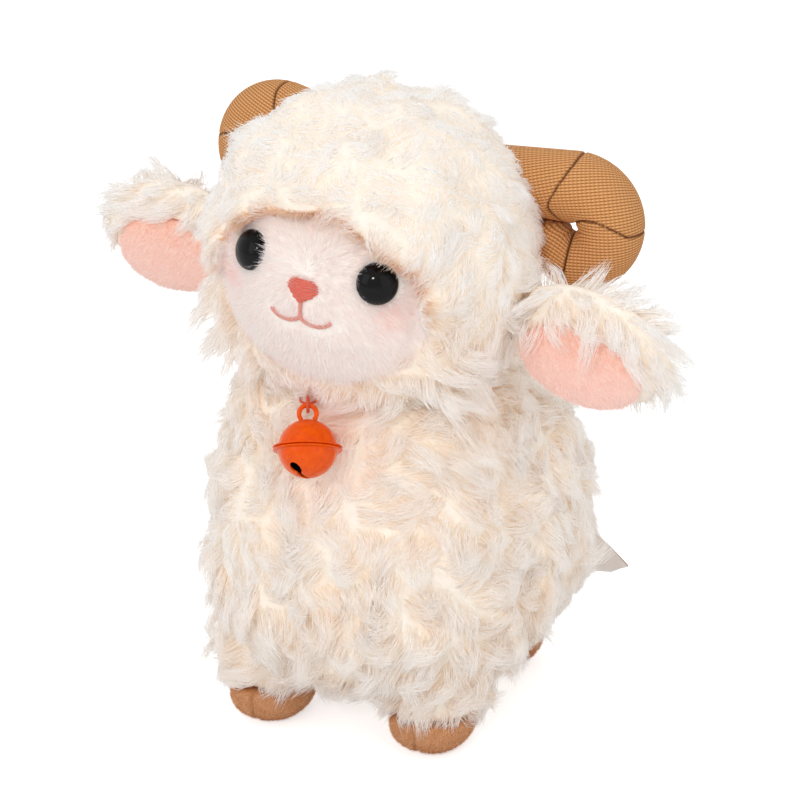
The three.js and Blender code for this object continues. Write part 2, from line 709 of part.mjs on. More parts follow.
// The tail hangs on the back seam, cut clear of the barrel as it wags
const TAIL_Z = BODY_MIDDLE_Z + TAIL_RISE;
const TAIL_ROOT = new THREE.Vector3(0, BODY_MIDDLE_Y + barrelReach(BODY_HALF_LENGTH + GAP, TAIL_Z), TAIL_Z);

function makeTail() {
  const puff = smallForm(TAIL_HALF_WIDTH, TAIL_HALF_LENGTH, TAIL_HALF_HEIGHT);
  const place = moved(0, TAIL_ROOT.y + TAIL_HALF_LENGTH - TAIL_SINK, TAIL_Z);
  const upright = new THREE.Vector3(0, 0, 1);
  const carrier = (pose) => bodyForm(-GAP, pose);
  return without(solid(puff, place), ...swept(carrier, TAIL_ROOT, upright, TAIL_SWING, TAIL_SWING));
}

// The label leaves the flank's seam and dips away from it
function labelRoot() {
  const z = BODY_MIDDLE_Z - LABEL_DROP;
  const reachX = barrelReach(BODY_HALF_WIDTH, z);
  const reachY = barrelReach(BODY_HALF_LENGTH, z);
  const shareX = Math.cos(LABEL_TURN) / BODY_HALF_LENGTH;
  const shareY = Math.sin(LABEL_TURN) / BODY_HALF_WIDTH;
  const power = 1 / (BODY_SQUARENESS - 1);
  const x = (shareX * BODY_HALF_WIDTH) ** power;
  const y = (shareY * BODY_HALF_LENGTH) ** power;
  const size = (x ** BODY_SQUARENESS + y ** BODY_SQUARENESS) ** (1 / BODY_SQUARENESS);
  return new THREE.Vector3((x / size) * reachX, BODY_MIDDLE_Y + (y / size) * reachY, z);
}

function makeLabel() {
  const root = labelRoot();
  const length = LABEL_LENGTH + WOOL_CLOTH;
  const sheet = new THREE.BoxGeometry(length, LABEL_THICK, LABEL_WIDTH, LABEL_STEPS);
  const pose = moved(root.x, root.y, root.z);
  pose.multiply(new THREE.Matrix4().makeRotationZ(LABEL_TURN));
  pose.multiply(new THREE.Matrix4().makeRotationY(LABEL_DIP));
  sheet.translate((LABEL_LENGTH - WOOL_CLOTH) / 2, 0, 0);
  const corners = sheet.attributes.position;
  const along = new THREE.Vector3(1, 0, 0);
  for (let i = 0; i < corners.count; i += 1) {
    const corner = new THREE.Vector3().fromBufferAttribute(corners, i);
    corner.applyAxisAngle(along, LABEL_TWIST * Math.max(corner.x / LABEL_LENGTH, 0));
    corners.setXYZ(i, corner.x, corner.y, corner.z);
  }
  const axis = new THREE.Vector3(0, 0, 1).transformDirection(pose);
  const { x, y } = LEG_PLACES.hind_left;
  const leg = legStub(-GAP, HOOF_TOP - GAP).translate(x, y, 0);
  const carrier = (turn) => bodyForm(-GAP, turn).add(solid(leg, turn));
  return without(solid(sheet, pose), ...swept(carrier, root, axis, LABEL_SWING, LABEL_SWING));
}

// The bell leans on the chest, its loop towards the neck, and is turned a little round
const BELL_MIDDLE = new THREE.Vector3(
  0,
  NECK_MIDDLE_Y - NECK_HALF_LENGTH - BELL_RADIUS - BELL_CLEAR,
  BODY_TOP - BELL_DROP,
);
const BELL_ROUND = new THREE.Matrix4().makeRotationZ(BELL_TURN);
const BELL_POSE = moved(BELL_MIDDLE.x, BELL_MIDDLE.y, BELL_MIDDLE.z)
  .multiply(BELL_ROUND)
  .multiply(new THREE.Matrix4().makeRotationX(-BELL_TILT));

// A half shell with a crimped band at its rim, its dome up
function bellShell(pose) {
  const outer = BELL_RADIUS;
  const inner = BELL_RADIUS - BELL_WALL;
  const foot = GAP / 2;
  const profile = [new THREE.Vector2(0, outer)];
  for (let i = 1; i <= BELL_STEPS; i += 1) {
    const angle = (Math.PI / 2) * (1 - i / BELL_STEPS);
    const z = Math.max(outer * Math.sin(angle), foot + BELL_BAND_THICK);
    profile.push(new THREE.Vector2(Math.sqrt(outer ** 2 - z ** 2), z));
  }
  profile.push(new THREE.Vector2(BELL_BAND_RADIUS, foot + BELL_BAND_THICK));
  profile.push(new THREE.Vector2(BELL_BAND_RADIUS, foot));
  for (let i = 0; i <= BELL_STEPS; i += 1) {
    const angle = (Math.PI / 2) * (i / BELL_STEPS);
    const z = Math.max(inner * Math.sin(angle), foot);
    profile.push(new THREE.Vector2(i === BELL_STEPS ? 0 : Math.sqrt(inner ** 2 - z ** 2), z));
  }
  const lathe = new THREE.LatheGeometry(profile.reverse(), FORM_COLUMNS);
  return solid(lathe.rotateX(Math.PI / 2), pose);
}

// The lower shell has a slot across it with a round hole at each end
function makeBellLower() {
  const flip = new THREE.Matrix4().makeRotationX(Math.PI);
  const shell = bellShell(BELL_POSE.clone().multiply(flip));
  const slotPose = BELL_POSE.clone().multiply(new THREE.Matrix4().makeRotationZ(SLOT_TURN));
  const holeX = BELL_RADIUS * BELL_HOLE_SHARE;
  const slot = new THREE.BoxGeometry(2 * holeX, BELL_SLOT_WIDTH, BELL_RADIUS);
  const cuts = [solid(slot.translate(0, 0, -BELL_RADIUS), slotPose)];
  for (const side of [-1, 1]) {
    const hole = new THREE.CylinderGeometry(BELL_HOLE_RADIUS, BELL_HOLE_RADIUS, BELL_RADIUS, SMALL_SIDES);
    hole.rotateX(Math.PI / 2).translate(side * holeX, 0, -BELL_RADIUS);
    cuts.push(solid(hole, slotPose));
  }
  return without(shell, ...cuts);
}

function arcPath(middle, across, up, radius, from, to, steps) {
  return Array.from({ length: steps + 1 }, (_, i) => {
    const angle = THREE.MathUtils.lerp(from, to, i / steps);
    const point = middle.clone().addScaledVector(across, radius * Math.cos(angle));
    return point.addScaledVector(up, radius * Math.sin(angle));
  });
}

// A round wire along a path
function wire(path, radius) {
  const curve = new THREE.CatmullRomCurve3(path);
  const section = new THREE.Shape().absarc(0, 0, radius, 0, 2 * Math.PI);
  const outline = new THREE.Shape(section.getSpacedPoints(WIRE_SIDES).slice(0, -1));
  return new THREE.ExtrudeGeometry(outline, { steps: path.length, bevelEnabled: false, extrudePath: curve });
}

function makeBellLoop() {
  const middle = new THREE.Vector3(0, 0, BELL_RADIUS + LOOP_RISE);
  const right = new THREE.Vector3(1, 0, 0);
  const up = new THREE.Vector3(0, 0, 1);
  const open = Math.PI / 4;
  const arc = arcPath(middle, right, up, LOOP_RADIUS, -open, Math.PI + open, LOOP_STEPS);
  const loop = solid(wire(arc, LOOP_WIRE_RADIUS), BELL_POSE);
  const dome = new THREE.SphereGeometry(BELL_RADIUS + GAP, FORM_COLUMNS, FORM_ROWS);
  return without(loop, solid(dome, BELL_POSE));
}

// The loop's top bar, which the bell swings on
const BELL_BAR = new THREE.Vector3(0, 0, BELL_RADIUS + LOOP_RISE + LOOP_RADIUS).applyMatrix4(BELL_POSE);

function makePea() {
  const drop = BELL_RADIUS - BELL_WALL - PEA_RADIUS - GAP;
  const ball = new THREE.SphereGeometry(PEA_RADIUS, LIMB_COLUMNS, LIMB_ROWS);
  return solid(ball, moved(BELL_MIDDLE.x, BELL_MIDDLE.y, BELL_MIDDLE.z - drop));
}

// The thread ring goes round the bar, and a tack stitch holds it on the chest
const TOWARDS_CHEST = new THREE.Vector3(0, 1, 0).transformDirection(BELL_ROUND);
const RING_REACH = THREAD_RING_RADIUS - THREAD_RADIUS - LOOP_WIRE_RADIUS - GAP;
const RING_MIDDLE = BELL_BAR.clone().addScaledVector(TOWARDS_CHEST, RING_REACH);

function makeThreadRing() {
  const ring = new THREE.TorusGeometry(THREAD_RING_RADIUS, THREAD_RADIUS, WIRE_SIDES, RING_STEPS);
  ring.rotateY(Math.PI / 2);
  return solid(ring, moved(RING_MIDDLE.x, RING_MIDDLE.y, RING_MIDDLE.z).multiply(BELL_ROUND));
}

function makeTack() {
  const inside = THREAD_RING_RADIUS - 2 * THREAD_RADIUS - GAP - THREAD_CLEAR;
  const middle = RING_MIDDLE.clone().addScaledVector(TOWARDS_CHEST, inside + TACK_REACH);
  const right = new THREE.Vector3(1, 0, 0).transformDirection(BELL_ROUND);
  right.multiplyScalar(TACK_HALF_WIDTH / TACK_REACH);
  const forward = TOWARDS_CHEST.clone().negate();
  const arc = arcPath(middle, right, forward, TACK_REACH, 0, Math.PI, TACK_STEPS);
  const deep = TOWARDS_CHEST.clone().multiplyScalar(OVERRUN);
  const path = [arc[0].clone().add(deep), ...arc, arc.at(-1).clone().add(deep)];
  return without(solid(wire(path, THREAD_RADIUS)), bodyForm(-GAP), headForm(-GAP));
}

// What is sewn on the body, as balls round which its wool lies flat
function sewnOnBody() {
  const reach = LEG_RADIUS + SEAM_MARGIN;
  const legs = Object.values(LEG_PLACES).map(({ x, y }) => (
    { middle: new THREE.Vector3(x, y, LEG_SWELL_HEIGHT), reach }
  ));
  return [
    ...legs,
    { middle: TAIL_ROOT, reach: Math.max(TAIL_HALF_LENGTH, TAIL_HALF_HEIGHT) + SEAM_MARGIN },
    { middle: labelRoot(), reach: LABEL_LENGTH },
    { middle: BELL_MIDDLE, reach: BELL_BAND_RADIUS + SEAM_MARGIN },
    { middle: new THREE.Vector3(0, HEAD_MIDDLE_Y, HEAD_MIDDLE_Z), reach: HEAD_HALF_WIDTH + SEAM_MARGIN },
  ];
}

function makeBodyCover() {
  const barrel = bigForm(
    BODY_HALF_WIDTH,
    BODY_HALF_LENGTH,
    BODY_HALF_HEIGHT,
    BODY_SQUARENESS,
    BODY_TAPER_SHARE,
  );
  const middle = new THREE.Vector3(0, BODY_MIDDLE_Y, BODY_MIDDLE_Z);
  const neck = bigForm(NECK_HALF_WIDTH, NECK_HALF_LENGTH, NECK_HALF_HEIGHT);
  neck.translate(0, NECK_MIDDLE_Y, NECK_MIDDLE_Z);
  const wool = solid(tufted(barrel, middle, sewnOnBody())).add(solid(neck));
  return without(wool, bodyForm(WOOL_CLOTH), headForm(-GAP));
}

function makeBodyStuffing() {
  return without(bodyForm(WOOL_CLOTH + GAP), headForm(-GAP));
}

function makeFacePanel() {
  const posts = [eyePost(1, GAP), eyePost(-1, GAP)];
  return without(faceForm(0).intersect(faceOval(0)), faceForm(PLUSH_CLOTH), ...posts);
}

// What is sewn on the upright head: the ears, the horns and the neck, with the bell below the chin
function sewnOnHead() {
  const sides = [1, -1].flatMap((side) => [
    {
      middle: new THREE.Vector3(side * HEAD_HALF_WIDTH, EAR_MIDDLE_Y, HEAD_MIDDLE_Z - EAR_DROP),
      reach: EAR_HALF_HEIGHT + SEAM_MARGIN,
    },
    {
      middle: new THREE.Vector3(side * HORN_SPREAD, HORN_MIDDLE_Y, HEAD_MIDDLE_Z + HORN_RISE),
      reach: 2 * HORN_RADIUS + HORN_EYE_RADIUS + SEAM_MARGIN,
    },
    {
      middle: new THREE.Vector3(
        side * (HORN_SPREAD - HORN_ROOT_RUN),
        HORN_MIDDLE_Y,
        HEAD_MIDDLE_Z + HORN_RISE + HORN_RADIUS + HORN_EYE_RADIUS,
      ),
      reach: HORN_RADIUS + SEAM_MARGIN,
    },
  ]);
  return [
    ...sides,
    { middle: new THREE.Vector3(0, NECK_MIDDLE_Y, NECK_MIDDLE_Z), reach: NECK_HALF_HEIGHT + SEAM_MARGIN },
    { middle: BELL_MIDDLE, reach: BELL_BAND_RADIUS + SEAM_MARGIN },
  ];
}

function makeHeadCover() {
  const ball = bigForm(HEAD_HALF_WIDTH, HEAD_HALF_LENGTH, HEAD_HALF_HEIGHT);
  const middle = new THREE.Vector3(0, HEAD_MIDDLE_Y, HEAD_MIDDLE_Z);
  const wool = solid(tufted(ball, middle, sewnOnHead()), HEAD_POSE);
  return without(wool, headForm(WOOL_CLOTH), faceOval(GAP));
}

function makeHeadStuffing() {
  const snout = faceForm(PLUSH_CLOTH + GAP).intersect(faceOval(-GAP));
  const recess = without(faceOval(2 * GAP), faceForm(PLUSH_CLOTH + 2 * GAP));
  const filled = without(headForm(WOOL_CLOTH + GAP), recess).add(snout);
  const fittings = [1, -1].flatMap((side) => [eyePost(side, GAP), washerDisc(side, GAP)]);
  return without(filled, ...fittings);
}

// One named mesh, its geometry measured from its own middle
function addPiece(group, name, shape, finish) {
  const { vertProperties, triVerts } = shape.getMesh();
  const geometry = new THREE.BufferGeometry();
  geometry.setAttribute('position', new THREE.Float32BufferAttribute(vertProperties, 3));
  geometry.setIndex(Array.from(triVerts));
  geometry.computeBoundingBox();
  const middle = geometry.boundingBox.getCenter(new THREE.Vector3());
  geometry.translate(-middle.x, -middle.y, -middle.z);
  geometry.computeVertexNormals();
  const mesh = new THREE.Mesh(geometry, new THREE.MeshStandardMaterial(FINISHES[finish]));
  mesh.name = name;
  mesh.position.copy(middle);
  group.add(mesh);
}

function buildHead() {
  const head = new THREE.Group();
  addPiece(head, 'head_cover', makeHeadCover(), 'wool');
  addPiece(head, 'head_stuffing', makeHeadStuffing(), 'stuffing');
  addPiece(head, 'face_panel', makeFacePanel(), 'plush');
  addPiece(head, 'nose_embroidery', makeNose(), 'nose');
  addPiece(head, 'mouth_embroidery', makeMouth(), 'nose');
  for (const [word, side] of SIDES) {
    addPiece(head, `${word}_eye`, makeEye(side), 'eye');
    addPiece(head, `${word}_eye_washer`, makeWasher(side), 'washer');
    addPiece(head, `${word}_horn_cover`, makeHornCover(side), 'knit');
    addPiece(head, `${word}_horn_stuffing`, makeHornStuffing(side), 'stuffing');
    addPiece(head, `${word}_ear_back`, makeEarBack(side), 'wool');
    addPiece(head, `${word}_ear_lining`, makeEarLining(side), 'pink');
  }
  return head;
}

function buildBody() {
  const body = new THREE.Group();
  addPiece(body, 'body_cover', makeBodyCover(), 'wool');
  addPiece(body, 'body_stuffing', makeBodyStuffing(), 'stuffing');
  addPiece(body, 'tail', makeTail(), 'wool');
  addPiece(body, 'care_label', makeLabel(), 'label');
  for (const [leg, { x, y }] of Object.entries(LEG_PLACES)) {
    addPiece(body, `${leg}_leg_cover`, makeLegCover(x, y), 'wool');
    addPiece(body, `${leg}_leg_stuffing`, makeLegStuffing(x, y), 'stuffing');
    addPiece(body, `${leg}_hoof`, makeHoof(x, y), 'hoof');
  }
  return body;
}

function buildBell() {
  const bell = new THREE.Group();
  addPiece(bell, 'bell_upper_shell', bellShell(BELL_POSE), 'bell');
  addPiece(bell, 'bell_lower_shell', makeBellLower(), 'bell');
  addPiece(bell, 'bell_loop', makeBellLoop(), 'bell');
  addPiece(bell, 'bell_pea', makePea(), 'pea');
  addPiece(bell, 'bell_thread_ring', makeThreadRing(), 'thread');
  addPiece(bell, 'bell_tack_stitch', makeTack(), 'thread');
  return bell;
}

const sheep = new THREE.Group();
sheep.add(buildBody(), buildHead(), buildBell());

// The row's origin is on the floor, under the middle of everything
const footprint = new THREE.Box3().setFromObject(sheep).getCenter(new THREE.Vector3());
sheep.position.set(-footprint.x, -footprint.y, 0);

export default sheep;
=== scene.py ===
# %% [markdown]
# # A plush sheep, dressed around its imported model
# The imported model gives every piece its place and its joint. This notebook grows the woolly coat
# over it, knits the horns, stitches the face and hangs the bell. Lengths are in metres, +Z is up,
# the sheep faces -Y and its left side is +X.

# %% Load the frame
import json
import math

import bpy
import numpy as np
from mathutils import Matrix, Vector
from mathutils.kdtree import KDTree

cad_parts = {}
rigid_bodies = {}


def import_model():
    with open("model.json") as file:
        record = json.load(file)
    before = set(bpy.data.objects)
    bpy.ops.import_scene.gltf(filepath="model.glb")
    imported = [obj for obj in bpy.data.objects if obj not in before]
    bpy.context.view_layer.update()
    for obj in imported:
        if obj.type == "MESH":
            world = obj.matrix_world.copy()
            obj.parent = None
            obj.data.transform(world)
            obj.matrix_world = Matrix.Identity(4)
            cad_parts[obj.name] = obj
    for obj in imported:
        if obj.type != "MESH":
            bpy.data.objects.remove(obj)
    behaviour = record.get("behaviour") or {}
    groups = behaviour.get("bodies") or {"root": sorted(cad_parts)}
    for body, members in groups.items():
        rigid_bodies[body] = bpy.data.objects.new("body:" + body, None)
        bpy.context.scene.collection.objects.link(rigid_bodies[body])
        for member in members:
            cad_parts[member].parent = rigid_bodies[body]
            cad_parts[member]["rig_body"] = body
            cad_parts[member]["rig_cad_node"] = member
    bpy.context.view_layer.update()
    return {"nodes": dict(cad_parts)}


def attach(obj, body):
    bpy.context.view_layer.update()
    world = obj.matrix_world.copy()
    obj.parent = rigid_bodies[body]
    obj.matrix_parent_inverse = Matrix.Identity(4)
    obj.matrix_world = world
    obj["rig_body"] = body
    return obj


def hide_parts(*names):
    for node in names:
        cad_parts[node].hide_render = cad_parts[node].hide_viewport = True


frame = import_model()
MM = 0.001

# %% [markdown]
# ## Helpers
# Most steps make a material, or work on one selected piece. These do what the steps share.

# %% Helpers
SIDES = ((1, "left"), (-1, "right"))


def new_material(name):
    """A new material, its nodes and links, and its shader."""
    material = bpy.data.materials.new(name)
    material.use_nodes = True
    nodes, links = material.node_tree.nodes, material.node_tree.links
    return material, nodes, links, nodes["Principled BSDF"]


def set_inputs(node, values):
    """Gives a node's inputs, by name, these values."""
    for name, value in values.items():
        node.inputs[name].default_value = value


def only(piece):
    """Makes a piece the one selected, active object."""
    bpy.ops.object.select_all(action="DESELECT")
    piece.hide_viewport = False
    piece.select_set(True)
    bpy.context.view_layer.objects.active = piece


def apply_modifier(piece, kind, **settings):
    """Adds a modifier with these settings and applies it."""
    only(piece)
    modifier = piece.modifiers.new(kind.lower(), kind)
    for name, value in settings.items():
        setattr(modifier, name, value)
    bpy.ops.object.modifier_apply(modifier=modifier.name)


print("helpers ready")

# %% [markdown]
# ## Camera
# The photograph was taken from the sheep's front left, a little above it, with a long lens. The
# camera stands where the photograph's did: 27 degrees round, 21 degrees up and 0.75 m away. A small
# lens shift puts the sheep where it stands in the picture.

# %% Camera
AIM = Vector((-2.98, -11.8, 97.5)) * MM
AZIMUTH = math.radians(27)
ELEVATION = math.radians(21)
DISTANCE = 0.75
LENS_MM = 107
LENS_SHIFT = (0.0125, 0.03125)

away = Vector((
    math.sin(AZIMUTH) * math.cos(ELEVATION),
    -math.cos(AZIMUTH) * math.cos(ELEVATION),
    math.sin(ELEVATION),
))
bpy.ops.object.camera_add(location=AIM + away * DISTANCE)
camera = bpy.context.active_object
camera.rotation_euler = (-away).to_track_quat("-Z", "Y").to_euler()
camera.data.lens = LENS_MM
camera.data.shift_x, camera.data.shift_y = LENS_SHIFT
bpy.context.scene.camera = camera
print("camera at", [round(v, 3) for v in camera.location])

# %% [markdown]
# ## Studio
# The sheep stands in a bright tent: a white world lights it from everywhere, and three large soft
# lamps give the wool its gentle shading, with a small one for the catch light in the eyes. The tent and
# the floor show white to the camera and in what mirrors them, and the floor keeps a soft shadow.

# %% Light
WORLD_LIGHT = 0.75
LAMPS = (
    ("key", (-0.55, -1.3, 0.75), 0.9, 2.6),
    ("fill", (1.3, -0.7, 0.6), 1.1, 2.2),
    ("back", (0.3, 1.2, 0.8), 0.9, 1.2),
    ("catch light", (0.25, -1.1, 0.75), 0.12, 3),
)

scene = bpy.context.scene
scene.cycles.max_bounces = 24
scene.cycles.diffuse_bounces = 20
scene.view_settings.view_transform = "Standard"
world = bpy.data.worlds.new("tent")
scene.world = world
world.use_nodes = True


def light_for_rays(nodes, links, lighting, seen):
    """A strength that differs for rays that light a surface, and rays by which the camera sees the
    thing itself or its mirror image."""
    path = nodes.new("ShaderNodeLightPath")
    either = nodes.new("ShaderNodeMath")
    either.operation = "MAXIMUM"
    links.new(path.outputs["Is Camera Ray"], either.inputs[0])
    links.new(path.outputs["Is Glossy Ray"], either.inputs[1])
    blend = nodes.new("ShaderNodeMix")
    blend.inputs["A"].default_value = lighting
    blend.inputs["B"].default_value = seen
    links.new(either.outputs[0], blend.inputs["Factor"])
    return blend.outputs["Result"]


nodes, links = world.node_tree.nodes, world.node_tree.links
nodes["Background"].inputs["Color"].default_value = (1, 1, 1, 1)
strength = light_for_rays(nodes, links, WORLD_LIGHT, 1)
links.new(strength, nodes["Background"].inputs["Strength"])

for name, place, size, power in LAMPS:
    bpy.ops.object.light_add(type="AREA", location=place)
    lamp = bpy.context.active_object
    lamp.name = name
    lamp.data.size = size
    lamp.data.energy = power
    lamp.rotation_euler = (AIM - lamp.location).to_track_quat("-Z", "Y").to_euler()
print("lamps:", [name for name, *_ in LAMPS])

# %% Floor
FLOOR_SIZE = 8
FLOOR_GREY = 0.75
FLOOR_GLOW = 0.62

bpy.ops.mesh.primitive_plane_add(size=FLOOR_SIZE)
floor = bpy.context.active_object
floor.name = "floor"
floor_paint, nodes, links, paint = new_material("floor")
set_inputs(paint, {
    "Base Color": (FLOOR_GREY, FLOOR_GREY, FLOOR_GREY, 1),
    "Roughness": 1,
    "Emission Color": (1, 1, 1, 1),
})
links.new(light_for_rays(nodes, links, 0, FLOOR_GLOW), paint.inputs["Emission Strength"])
floor.data.materials.append(floor_paint)

# %% [markdown]
# ## The places the head's pieces share
# The head stands tilted on the neck. What is drawn on the head is laid out as if it stood upright in
# the middle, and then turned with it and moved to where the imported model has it.

# %% Head places
HEAD_SHIFT_X = -2.977
HEAD_SHIFT_Y = -11.803
NECK_PIVOT = Vector((HEAD_SHIFT_X, HEAD_SHIFT_Y - 8, 122)) * MM
HEAD_TILT = math.radians(6.3)
head_turn = (
    Matrix.Translation(NECK_PIVOT)
    @ Matrix.Rotation(HEAD_TILT, 4, "Y")
    @ Matrix.Translation(-NECK_PIVOT)
    @ Matrix.Translation(Vector((HEAD_SHIFT_X, HEAD_SHIFT_Y, 0)) * MM)
)
HEAD_MIDDLE = np.array((0, -18, 162)) * MM
FACE_MIDDLE = np.array((0, -26.5, 157)) * MM
FACE_HALF = np.array((42, 37, 38)) * MM
OVAL_MIDDLE_Z = 157 * MM
OVAL_HALF_WIDTH = 33.5 * MM
OVAL_HALF_HEIGHT = 25 * MM
EYE_X = 20.5
EYE_Z = 166.5
MOUTH_HALF = 4.8
MOUTH_DIP = 2.6
HORN_PLACE = Vector((51, 11.3, 173)) * MM


def turned(matrix, points):
    """Points moved by a 4 x 4 matrix."""
    matrix = np.array(matrix)
    return points @ matrix[:3, :3].T + matrix[:3, 3]


def upright(points):
    """Points of the tilted head, as they would lie on an upright one."""
    return turned(head_turn.inverted(), points)


print("head turned by", round(math.degrees(HEAD_TILT), 1), "degrees")

# %% [markdown]
# ## Under-forms
# Under its pile each cover is a stuffed form. The CAD solids of the cover and its filling are copied,
# merged, and wrapped in one new skin by a voxel remesh, which also takes the hard creases between the
# barrel, the neck and the legs away. A smoothing pass then rounds them as the stuffing does. The
# belly is arched up a little between the front and hind legs, where the filling pulls it in.

# %% Wrapping forms
WELD = 0.01 * MM


def copy_of(name, *node_names):
    """A new piece from copies of CAD nodes, their loose triangles merged."""
    bpy.ops.object.select_all(action="DESELECT")
    copies = []
    for node_name in node_names:
        copy = frame["nodes"][node_name].copy()
        copy.data = copy.data.copy()
        copy.parent = None
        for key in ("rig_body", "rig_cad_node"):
            del copy[key]
        scene.collection.objects.link(copy)
        copy.hide_render = False
        copy.hide_viewport = False
        copies.append(copy)
    for copy in copies:
        copy.select_set(True)
    bpy.context.view_layer.objects.active = copies[0]
    if len(copies) > 1:
        bpy.ops.object.join()
    piece = bpy.context.active_object
    piece.name = name
    piece.data.materials.clear()
    bpy.ops.object.mode_set(mode="EDIT")
    bpy.ops.mesh.select_all(action="SELECT")
    bpy.ops.mesh.remove_doubles(threshold=WELD)
    bpy.ops.object.mode_set(mode="OBJECT")
    return piece


def wrapped(name, node_names, voxel, rounds):
    """One smooth closed skin round copies of CAD nodes."""
    piece = copy_of(name, *node_names)
    apply_modifier(piece, "REMESH", mode="VOXEL", voxel_size=voxel, use_smooth_shade=True)
    apply_modifier(piece, "SMOOTH", factor=0.5, iterations=rounds)
    only(piece)
    bpy.ops.object.shade_smooth()
    print(name, len(piece.data.polygons), "faces")
    return piece


# %% Under-forms
BELLY_ARCH = 11 * MM
LEGS = [f"{end}_{side}" for end in ("front", "hind") for side in ("left", "right")]

leg_nodes = [f"{leg}_leg_{layer}" for leg in LEGS for layer in ("cover", "stuffing")]
body_skin = wrapped("body_coat_cloth", ["body_cover", "body_stuffing", *leg_nodes], 1.6 * MM, 12)
for vertex in body_skin.data.vertices:
    _, y, z = vertex.co / MM
    low = np.interp(z, [14, 50], [1, 0])
    vertex.co.z += BELLY_ARCH * low * np.interp(y, [-19, -10, 12, 22], [0, 1, 1, 0])
head_nodes = ["head_cover", "head_stuffing", "face_panel"]
head_skin = wrapped("head_coat_cloth", head_nodes, 1.5 * MM, 6)
tail_skin = wrapped("tail_coat_cloth", ["tail"], 1 * MM, 8)
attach(tail_skin, "tail")
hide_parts("tail")

# %% [markdown]
# ## Wool
# The pile is curly: its fibres gather into locks one or two centimetres long, which stand up, fall
# over and curl to one side. A particle system would not be kept by the library, so each fibre is real
# geometry, a thin three-sided blade. Locks are scattered evenly over the skin, every fibre joins the
# nearest lock and follows its middle line, and the fibres close up towards the tip. The arrays are
# computed with numpy because there are more than a hundred thousand fibres.

# %% Fibres as geometry


def unit(vectors):
    """Vectors brought to a length of 1."""
    return vectors / np.maximum(np.linalg.norm(vectors, axis=-1, keepdims=True), 1e-12)


def level(directions, normals):
    """The part of each direction that lies along the skin."""
    return directions - normals * (directions * normals).sum(1, keepdims=True)


def swirled(directions, normals, turn):
    """Directions along the skin, each turned by an angle."""
    turn = turn[:, None]
    return np.cos(turn) * directions + np.sin(turn) * np.cross(normals, directions)


def waves(points, size, seed):
    """A smooth swell between about -1 and 1, with one hill every `size` or so."""
    rng = np.random.default_rng(seed)
    total = np.zeros(len(points))
    for _ in range(7):
        way = unit(rng.normal(size=3))
        pace = 2 * math.pi / size * rng.uniform(0.6, 1.3)
        total += np.sin(points @ way * pace + rng.uniform(0, 2 * math.pi))
    return total / 3.2


def values_of(items, key, width=1, kind=float):
    """A value, or a row of several, for each of a mesh's items."""
    values = np.empty(len(items) * width, kind)
    items.foreach_get(key, values)
    return values.reshape(-1, width) if width > 1 else values


def skin_of(piece):
    """The corner places, corner normals and areas of a piece's triangles."""
    mesh = piece.data
    mesh.calc_loop_triangles()
    corners = values_of(mesh.loop_triangles, "vertices", 3, np.int32)
    areas = values_of(mesh.loop_triangles, "area")
    places, normals = (values_of(mesh.vertices, key, 3) for key in ("co", "normal"))
    return places[corners], normals[corners], areas


def scattered(skin, count, keep, rng):
    """Random places on a skin that `keep` lets through, and the way out of it there."""
    places, normals, areas = skin
    face = rng.choice(len(areas), count, p=areas / areas.sum())
    share = rng.random((count, 2))
    share = np.where(share.sum(1, keepdims=True) > 1, 1 - share, share)
    share = np.column_stack([1 - share.sum(1), share])[:, :, None]
    spots, ways = (places[face] * share).sum(1), unit((normals[face] * share).sum(1))
    kept = keep(spots)
    return spots[kept], ways[kept]


def tree_of(points):
    """A tree that finds the nearest of these points."""
    tree = KDTree(len(points))
    for i, point in enumerate(points):
        tree.insert(point, i)
    tree.balance()
    return tree


def spaced(points, gap):
    """The points that are left when none may be nearer to another than a gap."""
    tree = tree_of(points)
    free = np.ones(len(points), bool)
    chosen = []
    for i, point in enumerate(points):
        if free[i]:
            chosen.append(i)
            for _, j, _ in tree.find_range(point, gap):
                free[j] = False
    return chosen


